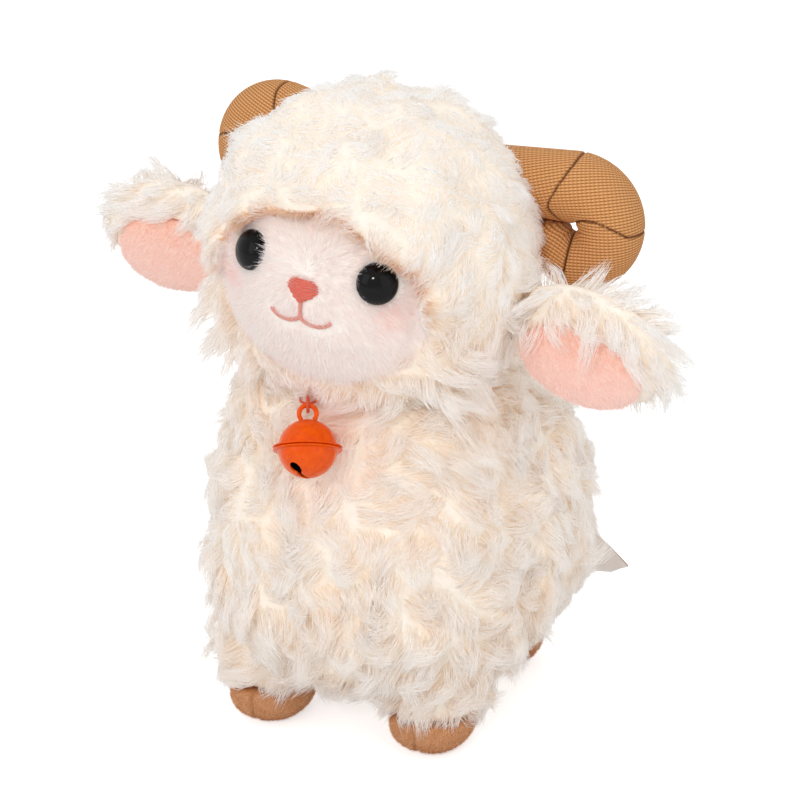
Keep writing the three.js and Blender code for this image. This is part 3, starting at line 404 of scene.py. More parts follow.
def blades(name, paths, widths, tint, body, material):
    """One mesh of three-sided blades. paths is blade x point x 3, from root to tip. Across its own
    map a blade is a narrow strip: its tint sets how far right it is, and its root is at the bottom."""
    count, steps, _ = paths.shape
    rings = steps - 1
    ahead = unit(np.diff(paths, axis=1, append=2 * paths[:, -1:] - paths[:, -2:-1]))
    spin = np.random.default_rng(len(name)).normal(size=(count, 1, 3))
    side = unit(np.cross(ahead, spin))
    rise = np.cross(ahead, side)
    corners = []
    for corner in range(3):
        angle = 2 * math.pi * corner / 3
        reach = math.cos(angle) * side + math.sin(angle) * rise
        corners.append(paths[:, :-1] + (reach[:, :-1] * widths[:, :, None] / 2))
    ring_points = np.stack(corners, axis=2).reshape(count, rings * 3, 3)
    points = np.concatenate([ring_points, paths[:, -1:]], axis=1)
    per_blade = rings * 3 + 1

    faces, sizes, across, along = [], [], [], []
    for ring in range(rings - 1):
        for corner in range(3):
            after = (corner + 1) % 3
            low, high = ring * 3, ring * 3 + 3
            faces += [low + corner, low + after, high + after, high + corner]
            across += [corner, after, after, corner]
            along += [ring, ring, ring + 1, ring + 1]
            sizes.append(4)
    last = (rings - 1) * 3
    for corner in range(3):
        after = (corner + 1) % 3
        faces += [last + corner, last + after, rings * 3]
        across += [corner, after, 1]
        along += [rings - 1, rings - 1, rings]
        sizes.append(3)
    faces += [2, 1, 0]
    across += [0, 2, 1]
    along += [0, 0, 0.4]
    sizes.append(3)

    corner_count = len(faces)
    all_faces = np.array(faces) + per_blade * np.arange(count)[:, None]
    starts = np.concatenate([[0], np.cumsum(sizes)[:-1]]) + corner_count * np.arange(count)[:, None]
    strip = 0.004
    u = np.clip(tint, 0, 1)[:, None] * (1 - 3 * strip) + strip * (0.5 + np.array(across))
    v = np.broadcast_to(0.01 + 0.98 * np.array(along) / rings, u.shape)

    mesh = bpy.data.meshes.new(name)
    mesh.vertices.add(count * per_blade)
    mesh.vertices.foreach_set("co", points.astype(np.float32).ravel())
    mesh.loops.add(count * corner_count)
    mesh.loops.foreach_set("vertex_index", all_faces.astype(np.int32).ravel())
    mesh.polygons.add(count * len(sizes))
    mesh.polygons.foreach_set("loop_start", starts.astype(np.int32).ravel())
    mesh.update(calc_edges=True)
    mesh.polygons.foreach_set("use_smooth", np.zeros(count * len(sizes), bool))
    layer = mesh.uv_layers.new(name="OFBake")
    layer.uv.foreach_set("vector", np.stack([u, v], 2).astype(np.float32).ravel())
    piece = bpy.data.objects.new(name, mesh)
    scene.collection.objects.link(piece)
    mesh.materials.append(material)
    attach(piece, body)
    triangles = count * (sum(sizes) - 2 * len(sizes))
    print(name, count, "blades,", triangles, "triangles")
    return piece


def locks(centres, normals, flow, look, rng):
    """The middle line of each lock: it stands up from the skin, falls over along the flow and curls
    to one side."""
    count, steps = len(centres), look["steps"]
    length = look["length"] * rng.uniform(0.75, 1.25, count)
    if "short" in look:
        length = length * look["short"](centres)
    start, end = (np.full(count, math.radians(v)) for v in look["lean"])
    if "upright" in look:
        start, end = (lean * (1 - look["upright"](centres)) for lean in (start, end))
    tilt = rng.normal(0, 0.16, count)
    curl = rng.choice([-1, 1], count) * rng.uniform(*look["curl"], count)
    sideways = np.cross(normals, flow)
    line = [centres]
    for step in range(steps - 1):
        share = (step + 0.5) / (steps - 1)
        lean = (start + (end - start) * share ** 0.8 + tilt)[:, None]
        turn = (curl * share)[:, None]
        along = np.cos(turn) * flow + np.sin(turn) * sideways
        ahead = np.cos(lean) * normals + np.sin(lean) * along
        line.append(line[-1] + ahead * (length / (steps - 1))[:, None])
    return np.stack(line, 1)


TRIES = 5
ROOT_DEPTH = 0.4 * MM


def wool(skin, look, flow_of, keep, seed):
    """Fibre paths, widths and tints for a skin's pile."""
    rng = np.random.default_rng(seed)
    area = skin[2].sum()
    tries, ways = scattered(skin, int(area / look["gap"] ** 2 * TRIES), keep, rng)
    chosen = spaced(tries + ways * look["lift"], look["gap"])
    centres, normals = tries[chosen], ways[chosen]
    flow = unit(level(flow_of(centres, normals, rng), normals))
    lines = locks(centres, normals, flow, look, rng)

    roots, ways = scattered(skin, int(area * look["density"]), keep, rng)
    tree = tree_of(centres + normals * look["lift"])
    lock = np.array([tree.find(point)[1] for point in roots + ways * look["lift"]])
    offset = roots - centres[lock]
    far = np.linalg.norm(offset, axis=1) / look["gap"]
    steps = look["steps"]
    share = np.linspace(0, 1, steps)[None, :, None]
    line = lines[lock] - centres[lock][:, None]
    size = rng.uniform(0.7, 1.12, len(roots)) * (1 - look["mound"] * np.minimum(far, 1) ** 2)
    line = line * size[:, None, None]
    gathered = offset[:, None] * (1 - look["gather"] * share ** 0.9)
    stray = rng.normal(size=(len(roots), 1, 3)) * look["stray"] * share ** 1.4
    paths = centres[lock][:, None] + line + gathered + stray
    paths[:, 0] -= ways * ROOT_DEPTH

    profile = np.interp(np.linspace(0, 1, steps)[:-1], [0, 0.35, 0.75, 1], [0.9, 1, 0.7, 0.3])
    widths = look["width"] * rng.uniform(0.75, 1.3, (len(roots), 1)) * profile
    lock_tint = rng.normal(0, 0.06, len(centres)) + 0.09 * waves(centres, 26 * MM, seed + 7)
    tint = lock_tint[lock] + rng.normal(0, 0.04, len(roots)) + look["tint"](roots)
    return roots, paths, widths, tint


# %% [markdown]
# ### The wool's colour
# A fibre is warm at its root, where light has bounced between many fibres, and nearly white at its
# tip. Every fibre reads its colour from its own map, left to right by its tint, from tan to white, and
# upwards along its length, so neighbouring locks differ a little as they do on the real toy. Light
# passes on through the thin fibres, which is what makes the pile look soft.

# %% Wool material
ALONG_FIBRE = (0.05, 0.45, 0.95)


def linear(red, green, blue):
    """A colour written as on a screen, 0 to 255, in linear light."""
    parts = [v / 255 for v in (red, green, blue)]
    return [v / 12.92 if v <= 0.04045 else ((v + 0.055) / 1.055) ** 2.4 for v in parts] + [1]


def ramp(nodes, stops):
    """A colour ramp with these (place, colour) stops."""
    node = nodes.new("ShaderNodeValToRGB")
    while len(node.color_ramp.elements) > 1:
        node.color_ramp.elements.remove(node.color_ramp.elements[0])
    first = node.color_ramp.elements[0]
    first.position, first.color = stops[0][0], stops[0][1]
    for place, colour in stops[1:]:
        node.color_ramp.elements.new(place).color = colour
    return node


def colour_socket(sockets, name):
    """The colour socket of a mix node, which has others of the same name."""
    return next(socket for socket in sockets if socket.name == name and socket.type == "RGBA")


def mixed(nodes, links, share, low, high):
    """A colour between two, each a node's output or a plain colour."""
    mix = nodes.new("ShaderNodeMix")
    mix.data_type = "RGBA"
    links.new(share, mix.inputs["Factor"])
    for name, colour in (("A", low), ("B", high)):
        socket = colour_socket(mix.inputs, name)
        if isinstance(colour, list):
            socket.default_value = colour
        else:
            links.new(colour, socket)
    return colour_socket(mix.outputs, "Result")


def raised(nodes, links, shader, height, strength, depth):
    """Raises a surface by a height from 0 to 1."""
    bump = nodes.new("ShaderNodeBump")
    set_inputs(bump, {"Strength": strength, "Distance": depth})
    links.new(height, bump.inputs["Height"])
    links.new(bump.outputs["Normal"], shader.inputs["Normal"])


def fibre_material(name, palettes, softness=0):
    """Fibres in several (root, middle, tip) palettes, each keyed by the tint it belongs to. Softness
    is the share of the light that passes on through them."""
    material, nodes, links, shader = new_material(name)
    places = nodes.new("ShaderNodeUVMap")
    places.uv_map = "OFBake"
    split = nodes.new("ShaderNodeSeparateXYZ")
    links.new(places.outputs["UV"], split.inputs[0])
    blend, last_tint = None, 0
    for tint, colours in palettes.items():
        stops = ramp(nodes, list(zip(ALONG_FIBRE, (linear(*c) for c in colours))))
        links.new(split.outputs["Y"], stops.inputs["Fac"])
        if blend is None:
            blend = stops.outputs["Color"]
        else:
            share = nodes.new("ShaderNodeMapRange")
            set_inputs(share, {"From Min": last_tint, "From Max": tint})
            links.new(split.outputs["X"], share.inputs["Value"])
            blend = mixed(nodes, links, share.outputs["Result"], blend, stops.outputs["Color"])
        last_tint = tint
    links.new(blend, shader.inputs["Base Color"])
    set_inputs(shader, {
        "Roughness": 0.85,
        "Specular IOR Level": 0.1,
        "Subsurface Weight": softness,
        "Subsurface Radius": (1, 0.8, 0.6),
        "Subsurface Scale": 4 * MM,
    })
    return material


wool_fibre = fibre_material("wool_fibre", {
    0: ((224, 180, 136), (240, 208, 172), (250, 234, 212)),
    0.2: ((250, 239, 224), (255, 248, 240), (255, 252, 249)),
    1: ((255, 253, 251), (255, 255, 255), (255, 255, 255)),
}, softness=0.6)


def grained(nodes, links, shader, deep, high, grain, detail):
    """Colours a surface by a noise between two colours, and gives the noise back."""
    places = nodes.new("ShaderNodeTexCoord")
    noise = nodes.new("ShaderNodeTexNoise")
    set_inputs(noise, {"Scale": 1 / grain, "Detail": detail})
    links.new(places.outputs["Object"], noise.inputs["Vector"])
    stops = ramp(nodes, [(0.3, linear(*deep)), (0.7, linear(*high))])
    links.new(noise.outputs["Fac"], stops.inputs["Fac"])
    links.new(stops.outputs["Color"], shader.inputs["Base Color"])
    return noise.outputs["Fac"]


def cloth_material(name, deep, high, grain, depth, roughness=0.95, specular=0.2, sheen=0):
    """Cloth or thread: two colours mixed by a fine grain, which also raises it."""
    material, nodes, links, shader = new_material(name)
    noise = grained(nodes, links, shader, deep, high, grain, 4)
    raised(nodes, links, shader, noise, 0.5, depth)
    set_inputs(shader, {"Roughness": roughness, "Specular IOR Level": specular, "Sheen Weight": sheen})
    return material


wool_cloth = cloth_material("wool_cloth", (248, 236, 221), (253, 245, 234), 2 * MM, 0.6 * MM)

# %% Body coat
DOWN = np.array((0, 0, -1.0))
MM2 = MM * MM
WOOL_FOOT = 12.6 * MM


def clear_of_hooves(points):
    """Where the body's wool may grow."""
    return points[:, 2] > WOOL_FOOT


def body_flow(points, normals, rng):
    """Down the body, swirling from one patch to the next."""
    swirl = np.interp(points[:, 2], [25 * MM, 60 * MM], [0.8, 1.8])
    turn = swirl * waves(points, 30 * MM, 3) + rng.normal(0, 0.35, len(points))
    return swirled(unit(level(DOWN, normals) + 1e-4), normals, turn)


def body_short(points):
    """Longest round the bottom and the neck, and shorter behind the bell, under the belly and low on
    the hind legs."""
    x, y, z = points.T / MM
    length = np.interp(z, [12, 20, 32, 50, 70, 90, 108, 122], [0.7, 1, 1.3, 1.3, 1, 1, 1.35, 1.4])
    behind_bell = np.interp(np.hypot(x + 3, z - 110), [12, 24], [0.7, 1]) ** (y < -30)
    belly = np.interp(z, [20, 60], [0.35, 1]) ** np.interp(y, [-18, -12, 14, 24], [0, 1, 1, 0])
    hind = np.interp(z, [20, 45], [0.7, 1]) ** (y > 14)
    return length * behind_bell * belly * hind


def body_tint(points):
    """Warmest under the chin and at the belly: painted shade, where the head and the body shade the wool.
    """
    return np.interp(points[:, 2] / MM, [20, 50, 100, 120], [0.55, 0.66, 0.66, 0.42])


CURLY = {
    "steps": 3,
    "length": 11.5 * MM,
    "lean": (36, 104),
    "curl": (0.4, 1.8),
    "gap": 5 * MM,
    "lift": 0,
    "density": 1.68 / MM2,
    "mound": 0.26,
    "gather": 0.3,
    "stray": 0.8 * MM,
    "width": 0.22 * MM,
    "short": body_short,
    "tint": body_tint,
}

MOST_BLADES = 18_000


def planted(name, grown, body, material):
    """Fur pieces of at most MOST_BLADES blades each, cut round the upright axis like a cake."""
    roots, paths, widths, tint = grown
    middle = roots.mean(0)
    order = np.argsort(np.arctan2(roots[:, 0] - middle[0], middle[1] - roots[:, 1]))
    parts = math.ceil(len(roots) / MOST_BLADES)
    pieces = []
    for number, chosen in enumerate(np.array_split(order, parts), 1):
        piece_name = f"{name}_{number}" if parts > 1 else name
        rows = np.sort(chosen)
        pieces.append(blades(piece_name, paths[rows], widths[rows], tint[rows], body, material))
    return pieces


body_skin.data.materials.append(wool_cloth)
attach(body_skin, "sheep")
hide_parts("body_cover", "body_stuffing", *leg_nodes)
grown = wool(skin_of(body_skin), CURLY, body_flow, clear_of_hooves, 11)
planted("body_wool", grown, "sheep", wool_fibre)

# %% Head coat


def oval_reach(points):
    """How far a point of the upright head is from the face's middle, 1 on the face's edge."""
    across = points[:, 0] / OVAL_HALF_WIDTH
    up = (points[:, 2] - OVAL_MIDDLE_Z) / OVAL_HALF_HEIGHT
    return np.hypot(across, up) + 10 * (points[:, 1] > HEAD_MIDDLE[1])


def off_face(points):
    """Where the head's wool may grow."""
    return oval_reach(upright(points)) > 1


def head_flow(points, normals, rng):
    """Down all round from the crown, and away from the face at the cheeks and chin."""
    at = upright(points)
    low = np.clip((OVAL_MIDDLE_Z + 18 * MM - at[:, 2]) / (20 * MM), 0, 1)[:, None]
    front = np.clip((HEAD_MIDDLE[1] - at[:, 1]) / (15 * MM), 0, 1)[:, None]
    aside = unit(np.column_stack([at[:, 0], np.full(len(at), 8 * MM), at[:, 2] - OVAL_MIDDLE_Z]))
    way = DOWN + 1.6 * aside * low * front
    turn = 1.5 * waves(points, 28 * MM, 5) + rng.normal(0, 0.35, len(points))
    return swirled(unit(level(way, normals)), normals, turn)


def head_short(points):
    """Shorter round the face, and shorter still on the crown and beside the horns, but long on the
    cheeks."""
    at = upright(points)
    from_horn = np.hypot(at[:, 1] - HORN_PLACE.y, at[:, 2] - HORN_PLACE.z)
    beside = np.interp(from_horn, [25 * MM, 34 * MM], [0.45, 1])
    beside = np.where(np.abs(at[:, 0]) > 22 * MM, beside, 1)
    crown = np.interp(at[:, 2], [180 * MM, 196 * MM], [1, 0.55])
    edge = np.interp(oval_reach(at), [1, 1.3, 1.6], [0.55, 0.85, 1])
    return edge * beside * crown * (1 + 1.2 * cheek(points))


def cheek(points):
    """1 in the middle of a cheek, where the wool is long and stands out, and 0 away from both."""
    at = upright(points) / MM
    off = np.column_stack([(np.abs(at[:, 0]) - 36) / 13, (at[:, 1] + 38) / 17, (at[:, 2] - 134) / 13])
    return np.exp(-(off ** 2).sum(1))


def upright_wool(points):
    """How much the locks of the head are raised."""
    return 0.45 * cheek(points)


def head_tint(points):
    """White on the crown. The tan along the seam round the face is painted shade where the wool meets
    the face, strongest above its middle.
    """
    at = upright(points)
    tint = np.interp(at[:, 2] / MM, [125, 150, 175, 205], [0.6, 0.76, 0.95, 1.05])
    # Painted shade: the wool turns tan along the seam round the face.
    seam = np.interp(oval_reach(at), [1.04, 1.2], [1, 0]) * np.where(at[:, 2] > OVAL_MIDDLE_Z, 1, 0.6)
    return tint * (1 - seam)


FLUFFY = {
    **CURLY,
    "length": 10.5 * MM,
    "lean": (30, 100),
    "curl": (0.3, 1.4),
    "gap": 4.8 * MM,
    "upright": upright_wool,
    "short": head_short,
    "tint": head_tint,
}
head_skin.data.materials.append(wool_cloth)
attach(head_skin, "sheep")
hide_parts(*head_nodes)
grown = wool(skin_of(head_skin), FLUFFY, head_flow, off_face, 12)
planted("head_wool", grown, "sheep", wool_fibre)

# %% [markdown]
# ## Face
# The face is a panel of short white plush. Its hairs are only three millimetres long and lie away
# from the bridge of the nose, so each is a plain thin cone. They are shorter beside the stitches,
# lap over the rims of the eyes, and are dyed pink on the cheeks. Under the brow they are painted
# tan, as painted shade below the overhanging wool.

# %% Face plush
EYE_PLACES = np.array(((EYE_X, EYE_Z), (-EYE_X, EYE_Z))) * MM
BLUSH_PLACES = np.array(((24, 157), (-26, 157))) * MM
BRIDGE = np.array((0, 166)) * MM
NOSE_MIDDLE = np.array((0, 160.9)) * MM
PANEL_EDGE = 1.02
PLUSH_EDGE = 1.04
CLEAR_OF_EYE = 5.6 * MM
CLEAR_OF_NOSE = 4 * MM


def smile(side, angle, fork_z):
    """A place on one side of the mouth, in mm, from its fork at 0 to its corner at pi."""
    return side * (MOUTH_HALF - MOUTH_HALF * math.cos(angle)), fork_z - MOUTH_DIP * math.sin(angle)


mouth_line = [(0, z) for z in np.linspace(157.3, 153.6, 6)]
mouth_line += [smile(side, angle, 153.4) for side in (-1, 1) for angle in np.linspace(0, math.pi, 15)]
stitched = np.concatenate([np.array(mouth_line) * MM, NOSE_MIDDLE[None]])


def nearest(places, marks):
    """How far each place is from the nearest mark, both as seen from the front."""
    return np.linalg.norm(places[:, None] - marks[None], axis=2).min(1)


def flat(points):
    """Points of the head as seen from the front: x and z."""
    return upright(points)[:, [0, 2]]


def on_face(points):
    """Where the face's plush may grow."""
    at = flat(points)
    inside = oval_reach(upright(points)) < PLUSH_EDGE
    off_eyes = nearest(at, EYE_PLACES) > CLEAR_OF_EYE
    return inside & off_eyes & (nearest(at, NOSE_MIDDLE[None]) > CLEAR_OF_NOSE)


HAIR_ROOT_DEPTH = 0.2 * MM


def sown(skin, keep, flow_of, look, tint_of, seed):
    """Short straight hairs for a skin: the same four arrays that wool gives."""
    rng = np.random.default_rng(seed)
    roots, ways = scattered(skin, int(skin[2].sum() * look["density"]), keep, rng)
    flow = unit(level(flow_of(roots, ways, rng), ways) + 1e-9)
    lean = np.radians(look["lean"]) + rng.normal(0, 0.16, len(roots))
    if "upright" in look:
        lean = lean * (1 - look["upright"](roots))
    length = look["length"] * rng.uniform(0.75, 1.2, len(roots))
    if "short" in look:
        length = length * look["short"](roots)
    ahead = np.cos(lean)[:, None] * ways + np.sin(lean)[:, None] * flow
    start = roots - ways * HAIR_ROOT_DEPTH
    widths = look["width"] * rng.uniform(0.8, 1.25, (len(roots), 1))
    tint = tint_of(roots) + rng.normal(0, 0.08, len(roots))
    return roots, np.stack([start, start + ahead * length[:, None]], 1), widths, tint


def face_flow(points, normals, rng):
    """Away from the bridge of the nose."""
    at = flat(points) - BRIDGE
    way = np.column_stack([at[:, 0], np.zeros(len(at)), at[:, 1]])
    way = unit(way) + rng.normal(0, 0.25, way.shape)
    return way @ np.array(head_turn)[:3, :3].T


def face_short(points):
    """Short beside the stitches, and longer at the rims of the eyes."""
    off_stitches = np.interp(nearest(flat(points), stitched), [0.4 * MM, 3 * MM], [0.2, 1])
    return off_stitches * (1 + 0.4 * beside_eye(points))


def beside_eye(points):
    """1 at the rims of the eyes, where the hairs stand up and lap over, and 0 away from them."""
    return np.interp(nearest(flat(points), EYE_PLACES), [6 * MM, 9 * MM], [1, 0])


def upright_plush(points):
    """How much the hairs of the face are raised."""
    return 0.25 * beside_eye(points)


def face_tint(points):
    """White, with a pink blush on the cheeks, and tan under the brow as painted shade below the
    overhanging wool.
    """
    at = upright(points)
    blush = np.exp(-(nearest(flat(points), BLUSH_PLACES) / (4.6 * MM)) ** 2)
    # Painted shade: tan along the top of the face, under the wool's fringe.
    brow = np.interp(oval_reach(at), [0.93, 0.97], [0, 0.95]) * (at[:, 2] > OVAL_MIDDLE_Z + 8 * MM)
    return (0.97 - 0.22 * blush) * (1 - brow)


FACE_PLUSH = {
    "length": 3 * MM, "width": 0.2 * MM, "density": 6 / MM2, "lean": 62,
    "short": face_short, "upright": upright_plush,
}
face_fibre = fibre_material("face_fibre", {
    0: ((226, 192, 150), (240, 214, 180), (249, 234, 214)),
    0.3: ((244, 206, 196), (250, 190, 180), (252, 196, 186)),
    1: ((246, 240, 236), (249, 246, 244), (251, 249, 248)),
})
face_cloth = cloth_material("face_cloth", (246, 238, 230), (252, 247, 241), 1.2 * MM, 0.3 * MM)
head_skin.data.materials.append(face_cloth)
middles = np.array([face.center for face in head_skin.data.polygons])
for face, inside in zip(head_skin.data.polygons, oval_reach(upright(middles)) < PANEL_EDGE):
    face.material_index = int(inside)
face_hair = planted(
    "face_plush",
    sown(skin_of(head_skin), on_face, face_flow, FACE_PLUSH, face_tint, 13),
    "sheep", face_fibre,
)
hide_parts("face_panel")

# %% [markdown]
# ## Ears
# An ear is a leaf of woolly cloth with a pink plush lining in its front. Long locks grow from its
# back and its upper edge and hang over the lining. Both forms are smoothed copies of the imported
# pieces, and the ear's own pose turns the flow of the fibres with it.

# %% Ears
EAR_PLACE = Vector((70, -15, 148)) * MM
EAR_DROOP = math.radians(6)
EAR_PITCH = math.radians(14)
EAR_HALF_LENGTH = 27 * MM
EAR_HALF_HEIGHT = 19 * MM
PAD_MIDDLE_Z = -5 * MM
PAD_HALF_LENGTH = 20 * MM
PAD_HALF_HEIGHT = 13 * MM
PAD_FRONT = -4.5 * MM
LINING_RIM = 1.05
LOW_FRONT = -7 * MM


def head_side(side):
    """The head's pose for its left side, or mirrored for its right."""
    return head_turn if side > 0 else head_turn @ Matrix.Diagonal((-1, 1, 1, 1))


def ear_pose(side):
    """An ear's own place: x along it, y back and z up."""
    turn = Matrix.Rotation(EAR_DROOP, 4, "Y") @ Matrix.Rotation(EAR_PITCH, 4, "X")
    return head_side(side) @ Matrix.Translation(EAR_PLACE) @ turn


def along(pose, directions):
    """Directions of a pose's own axes, turned into the model's."""
    return directions @ np.array(pose)[:3, :3].T


EAR_LOOK = {
    **CURLY,
    "length": 11 * MM,
    "lean": (46, 92),
    "curl": (0.2, 1.2),
    "gap": 4.6 * MM,
    "gather": 0.5,
    "lift": 3 * MM,
    "density": CURLY["density"] * 1.15,
}
pink_fibre = fibre_material("pink_fibre", {
    0: ((247, 192, 165), (251, 210, 190), (253, 220, 203)),
    1: ((250, 221, 212), (253, 231, 225), (254, 237, 232)),
})
pink_cloth = cloth_material("pink_cloth", (247, 204, 188), (251, 222, 210), 1 * MM, 0.2 * MM)
PINK_PLUSH = {"length": 1.6 * MM, "width": 0.19 * MM, "density": 7 / MM2, "lean": 58}

LINING_WAY = np.array((0.8, 0, -0.6))

# %% Each ear
for side, word in SIDES:
    pose = ear_pose(side)
    inverse = pose.inverted()
    body = f"{word}_ear"

    def woolly(points):
        """The ear's back, and its front outside the lining and above its lower edge."""
        at = turned(inverse, points)
        across = at[:, 0] / (LINING_RIM * PAD_HALF_LENGTH)
        up = (at[:, 2] - PAD_MIDDLE_Z) / (LINING_RIM * PAD_HALF_HEIGHT)
        front = at[:, 1] < 1 * MM
        return ~(front & ((across ** 2 + up ** 2 < 1) | (at[:, 2] < LOW_FRONT)))

    def ear_flow(points, normals, rng):
        """Out to the ear's tip and down."""
        at = turned(inverse, points)
        way = np.column_stack([
            0.55 + at[:, 0] / (30 * MM),
            np.where(at[:, 1] > 0, 0.2, -0.35),
            -0.75 + 0.5 * np.clip(at[:, 2] / EAR_HALF_HEIGHT, -1, 1),
        ])
        return along(pose, unit(way) + rng.normal(0, 0.22, way.shape))

    def ear_short(points):
        """Longest along the upper edge, and shorter at the tip, most so on the right ear."""
        at = turned(inverse, points)
        length = np.interp(at[:, 2] / EAR_HALF_HEIGHT, [-1, -0.3, 0.2, 1], [0.5, 0.8, 1.25, 1.3])
        ends = [1, 0.85] if side > 0 else [0.8, 0.35]
        return length * np.interp(at[:, 0] / EAR_HALF_LENGTH, [0.3, 1], ends)

    def upright_ear(points):
        """How much the locks are raised: a little on the upper edge."""
        return 0.3 * np.interp(turned(inverse, points)[:, 2] / EAR_HALF_HEIGHT, [0.3, 0.8], [0, 1])

    def ear_tint(points):
        """Nearly white everywhere."""
        return 0.8 * np.ones(len(points))

    def lining_front(points):
        """Where the lining's plush may grow."""
        return turned(inverse, points)[:, 1] < PAD_FRONT

    def lining_flow(points, normals, rng):
        """The same way all over the lining, but for a little disorder."""
        way = np.tile(LINING_WAY, (len(points), 1))
        return along(pose, way + rng.normal(0, 0.3, way.shape))

    def lining_tint(points):
        """Deepest pink under the ear's upper edge: painted shade below the locks that hang over it."""
        high = (turned(inverse, points)[:, 2] - PAD_MIDDLE_Z) / PAD_HALF_HEIGHT
        return np.interp(high, [-0.4, 0.3, 0.9], [1, 0.7, 0.05])

    ear_back = wrapped(f"{word}_ear_cloth", [f"{word}_ear_back"], 0.9 * MM, 8)
    ear_back.data.materials.append(wool_cloth)
    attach(ear_back, body)
    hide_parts(f"{word}_ear_back")
    look = {**EAR_LOOK, "short": ear_short, "tint": ear_tint, "upright": upright_ear}
    planted(f"{word}_ear_wool", wool(skin_of(ear_back), look, ear_flow, woolly, 21), body, wool_fibre)

    lining = wrapped(f"{word}_ear_lining_cloth", [f"{word}_ear_lining"], 0.7 * MM, 6)
    lining.data.materials.append(pink_cloth)
    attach(lining, body)
    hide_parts(f"{word}_ear_lining")
    grown = sown(skin_of(lining), lining_front, lining_flow, PINK_PLUSH, lining_tint, 22)
    planted(f"{word}_ear_pink_plush", grown, body, pink_fibre)

# %% [markdown]
# ## Tail
# The tail is a small round puff of the same wool on the back seam. It rides its own joint.

# %% Tail wool
TAIL_WOOL_START = 58 * MM


def even(points):
    """The same length everywhere."""
    return np.ones(len(points))


def tail_flow(points, normals, rng):
    """Down, but unkempt."""
    return np.tile(DOWN, (len(points), 1)) + rng.normal(0, 0.5, (len(points), 3))


def off_the_back(points):
    """Where the tail's wool may grow."""
    return points[:, 1] > TAIL_WOOL_START


TAIL_LOOK = {**CURLY, "length": 9 * MM, "short": even, "tint": body_tint}


tail_skin.data.materials.append(wool_cloth)
grown = wool(skin_of(tail_skin), TAIL_LOOK, tail_flow, off_the_back, 31)
planted("tail_wool", grown, "tail", wool_fibre)

# %% [markdown]
# ## Horns
# Each horn is a stuffed tube of ribbed knit, sewn from four panels and curled round until its tip
# meets its root. The middle line is drawn as a curve with a radius at every point, a round bevel
# sweeps the tube, and the mesh is then pressed in along the seams. The ribs of a panel are straight,
# because each panel is cut from flat cloth. They are lines in the horn's plane, and the cloth goes
# round the tube from its middle to its rim without a stretch. The knit's material raises the ribs.

# %% Horn shape
HORN_RADIUS = 10.8
HORN_TAPER = (0.9, 1, 0.93, 0.86, 0.64)
HORN_EYE = 1.3
HORN_ROOT_RUN = 26
HORN_TURN = 257
HORN_YAW = math.radians(5)
HORN_ROLL = math.radians(7)
RIB_PITCH = 0.96
STITCH_PITCH = 1.25
SEAM_WIDTH = 0.42
SEAM_DEPTH = 0.6
# Each seam's distance from the horn's eye in mm, and its angle there in degrees
SEAMS = (
    ((0, 9.5, 13, 17, 21, 26), (140, 126, 105, 93, 86, 82)),
    ((0, 2, 13.5, 18.5), (68, 60, 14, 0)),
    ((0, 20), (-84, -100)),
)
# How the ribs of each panel lean, in degrees, from root to tip
PANEL_SLOPES = (15, 8, 3, -26)


def horn_line():
    """The horn's middle line in its own plane, in mm: x, z and radius."""
    rows = []
    top = 2 * HORN_RADIUS + HORN_EYE
    shares = np.linspace(0, 1, len(HORN_TAPER))
    for run in np.linspace(-HORN_ROOT_RUN, 0, 70, endpoint=False):
        radius = HORN_RADIUS * np.interp(0.25 * (1 + run / HORN_ROOT_RUN), shares, HORN_TAPER)
        rows.append((run, top - radius, radius))
    for share in np.linspace(0, 1, 220):
        radius = HORN_RADIUS * np.interp(0.25 + 0.75 * share, shares, HORN_TAPER)
        angle = math.radians(90 - HORN_TURN * share)
        reach = radius + HORN_EYE
        rows.append((reach * math.cos(angle), reach * math.sin(angle), radius))
    (x0, z0, _), (x1, z1, radius) = rows[-2:]
    step = math.hypot(x1 - x0, z1 - z0)
    for angle in np.linspace(0, math.pi / 2, 14)[1:]:
        push = 0.5 * radius * math.sin(angle) / step
        rows.append((x1 + (x1 - x0) * push, z1 + (z1 - z0) * push, max(radius * math.cos(angle), 0.05)))
    return rows


def tubes(name, lines, radius, sides):
    """A mesh of closed round tubes. A line is rows of (x, y, z, share of the radius)."""
    curve = bpy.data.curves.new(name, "CURVE")
    curve.dimensions = "3D"
    curve.bevel_depth = radius
    curve.bevel_resolution = sides // 2 - 2
    curve.use_fill_caps = True
    for line in lines:
        spline = curve.splines.new("POLY")
        spline.points.add(len(line) - 1)
        for point, (x, y, z, share) in zip(spline.points, line):
            point.co = (x, y, z, 1)
            point.radius = share
    piece = bpy.data.objects.new(name, curve)
    scene.collection.objects.link(piece)
    only(piece)
    bpy.ops.object.convert(target="MESH")
    piece = bpy.context.active_object
    bpy.ops.object.shade_smooth()
    piece.data.materials.clear()
    return piece


def swept_from(places, rows):
    """The middle of the ring that each place of a swept tube belongs to."""
    middles, radii = np.array(rows)[:, :3], np.array(rows)[:, 3]
    steps = np.gradient(middles, axis=0)
    steps /= np.linalg.norm(steps, axis=1)[:, None]
    least = np.full(len(places), np.inf)
    found = np.zeros_like(places)
    for middle, step, radius in zip(middles, steps, radii):
        gap = places - middle
        miss = np.abs(gap @ step) + np.abs(np.linalg.norm(gap, axis=1) - radius)
        found[miss < least] = middle
        least = np.minimum(least, miss)
    return found


def laid_flat(places, rows):
    """The horn's cloth unrolled into the horn's plane from the tube's middle, as x and z."""
    middle = swept_from(places, rows)
    gap = places - middle
    aside = np.hypot(gap[:, 0], gap[:, 2])
    round_tube = np.arctan2(aside, np.abs(gap[:, 1])) * np.linalg.norm(gap, axis=1)
    flat = middle + gap * (round_tube / np.maximum(aside, 1e-6))[:, None]
    return flat[:, 0], flat[:, 2]


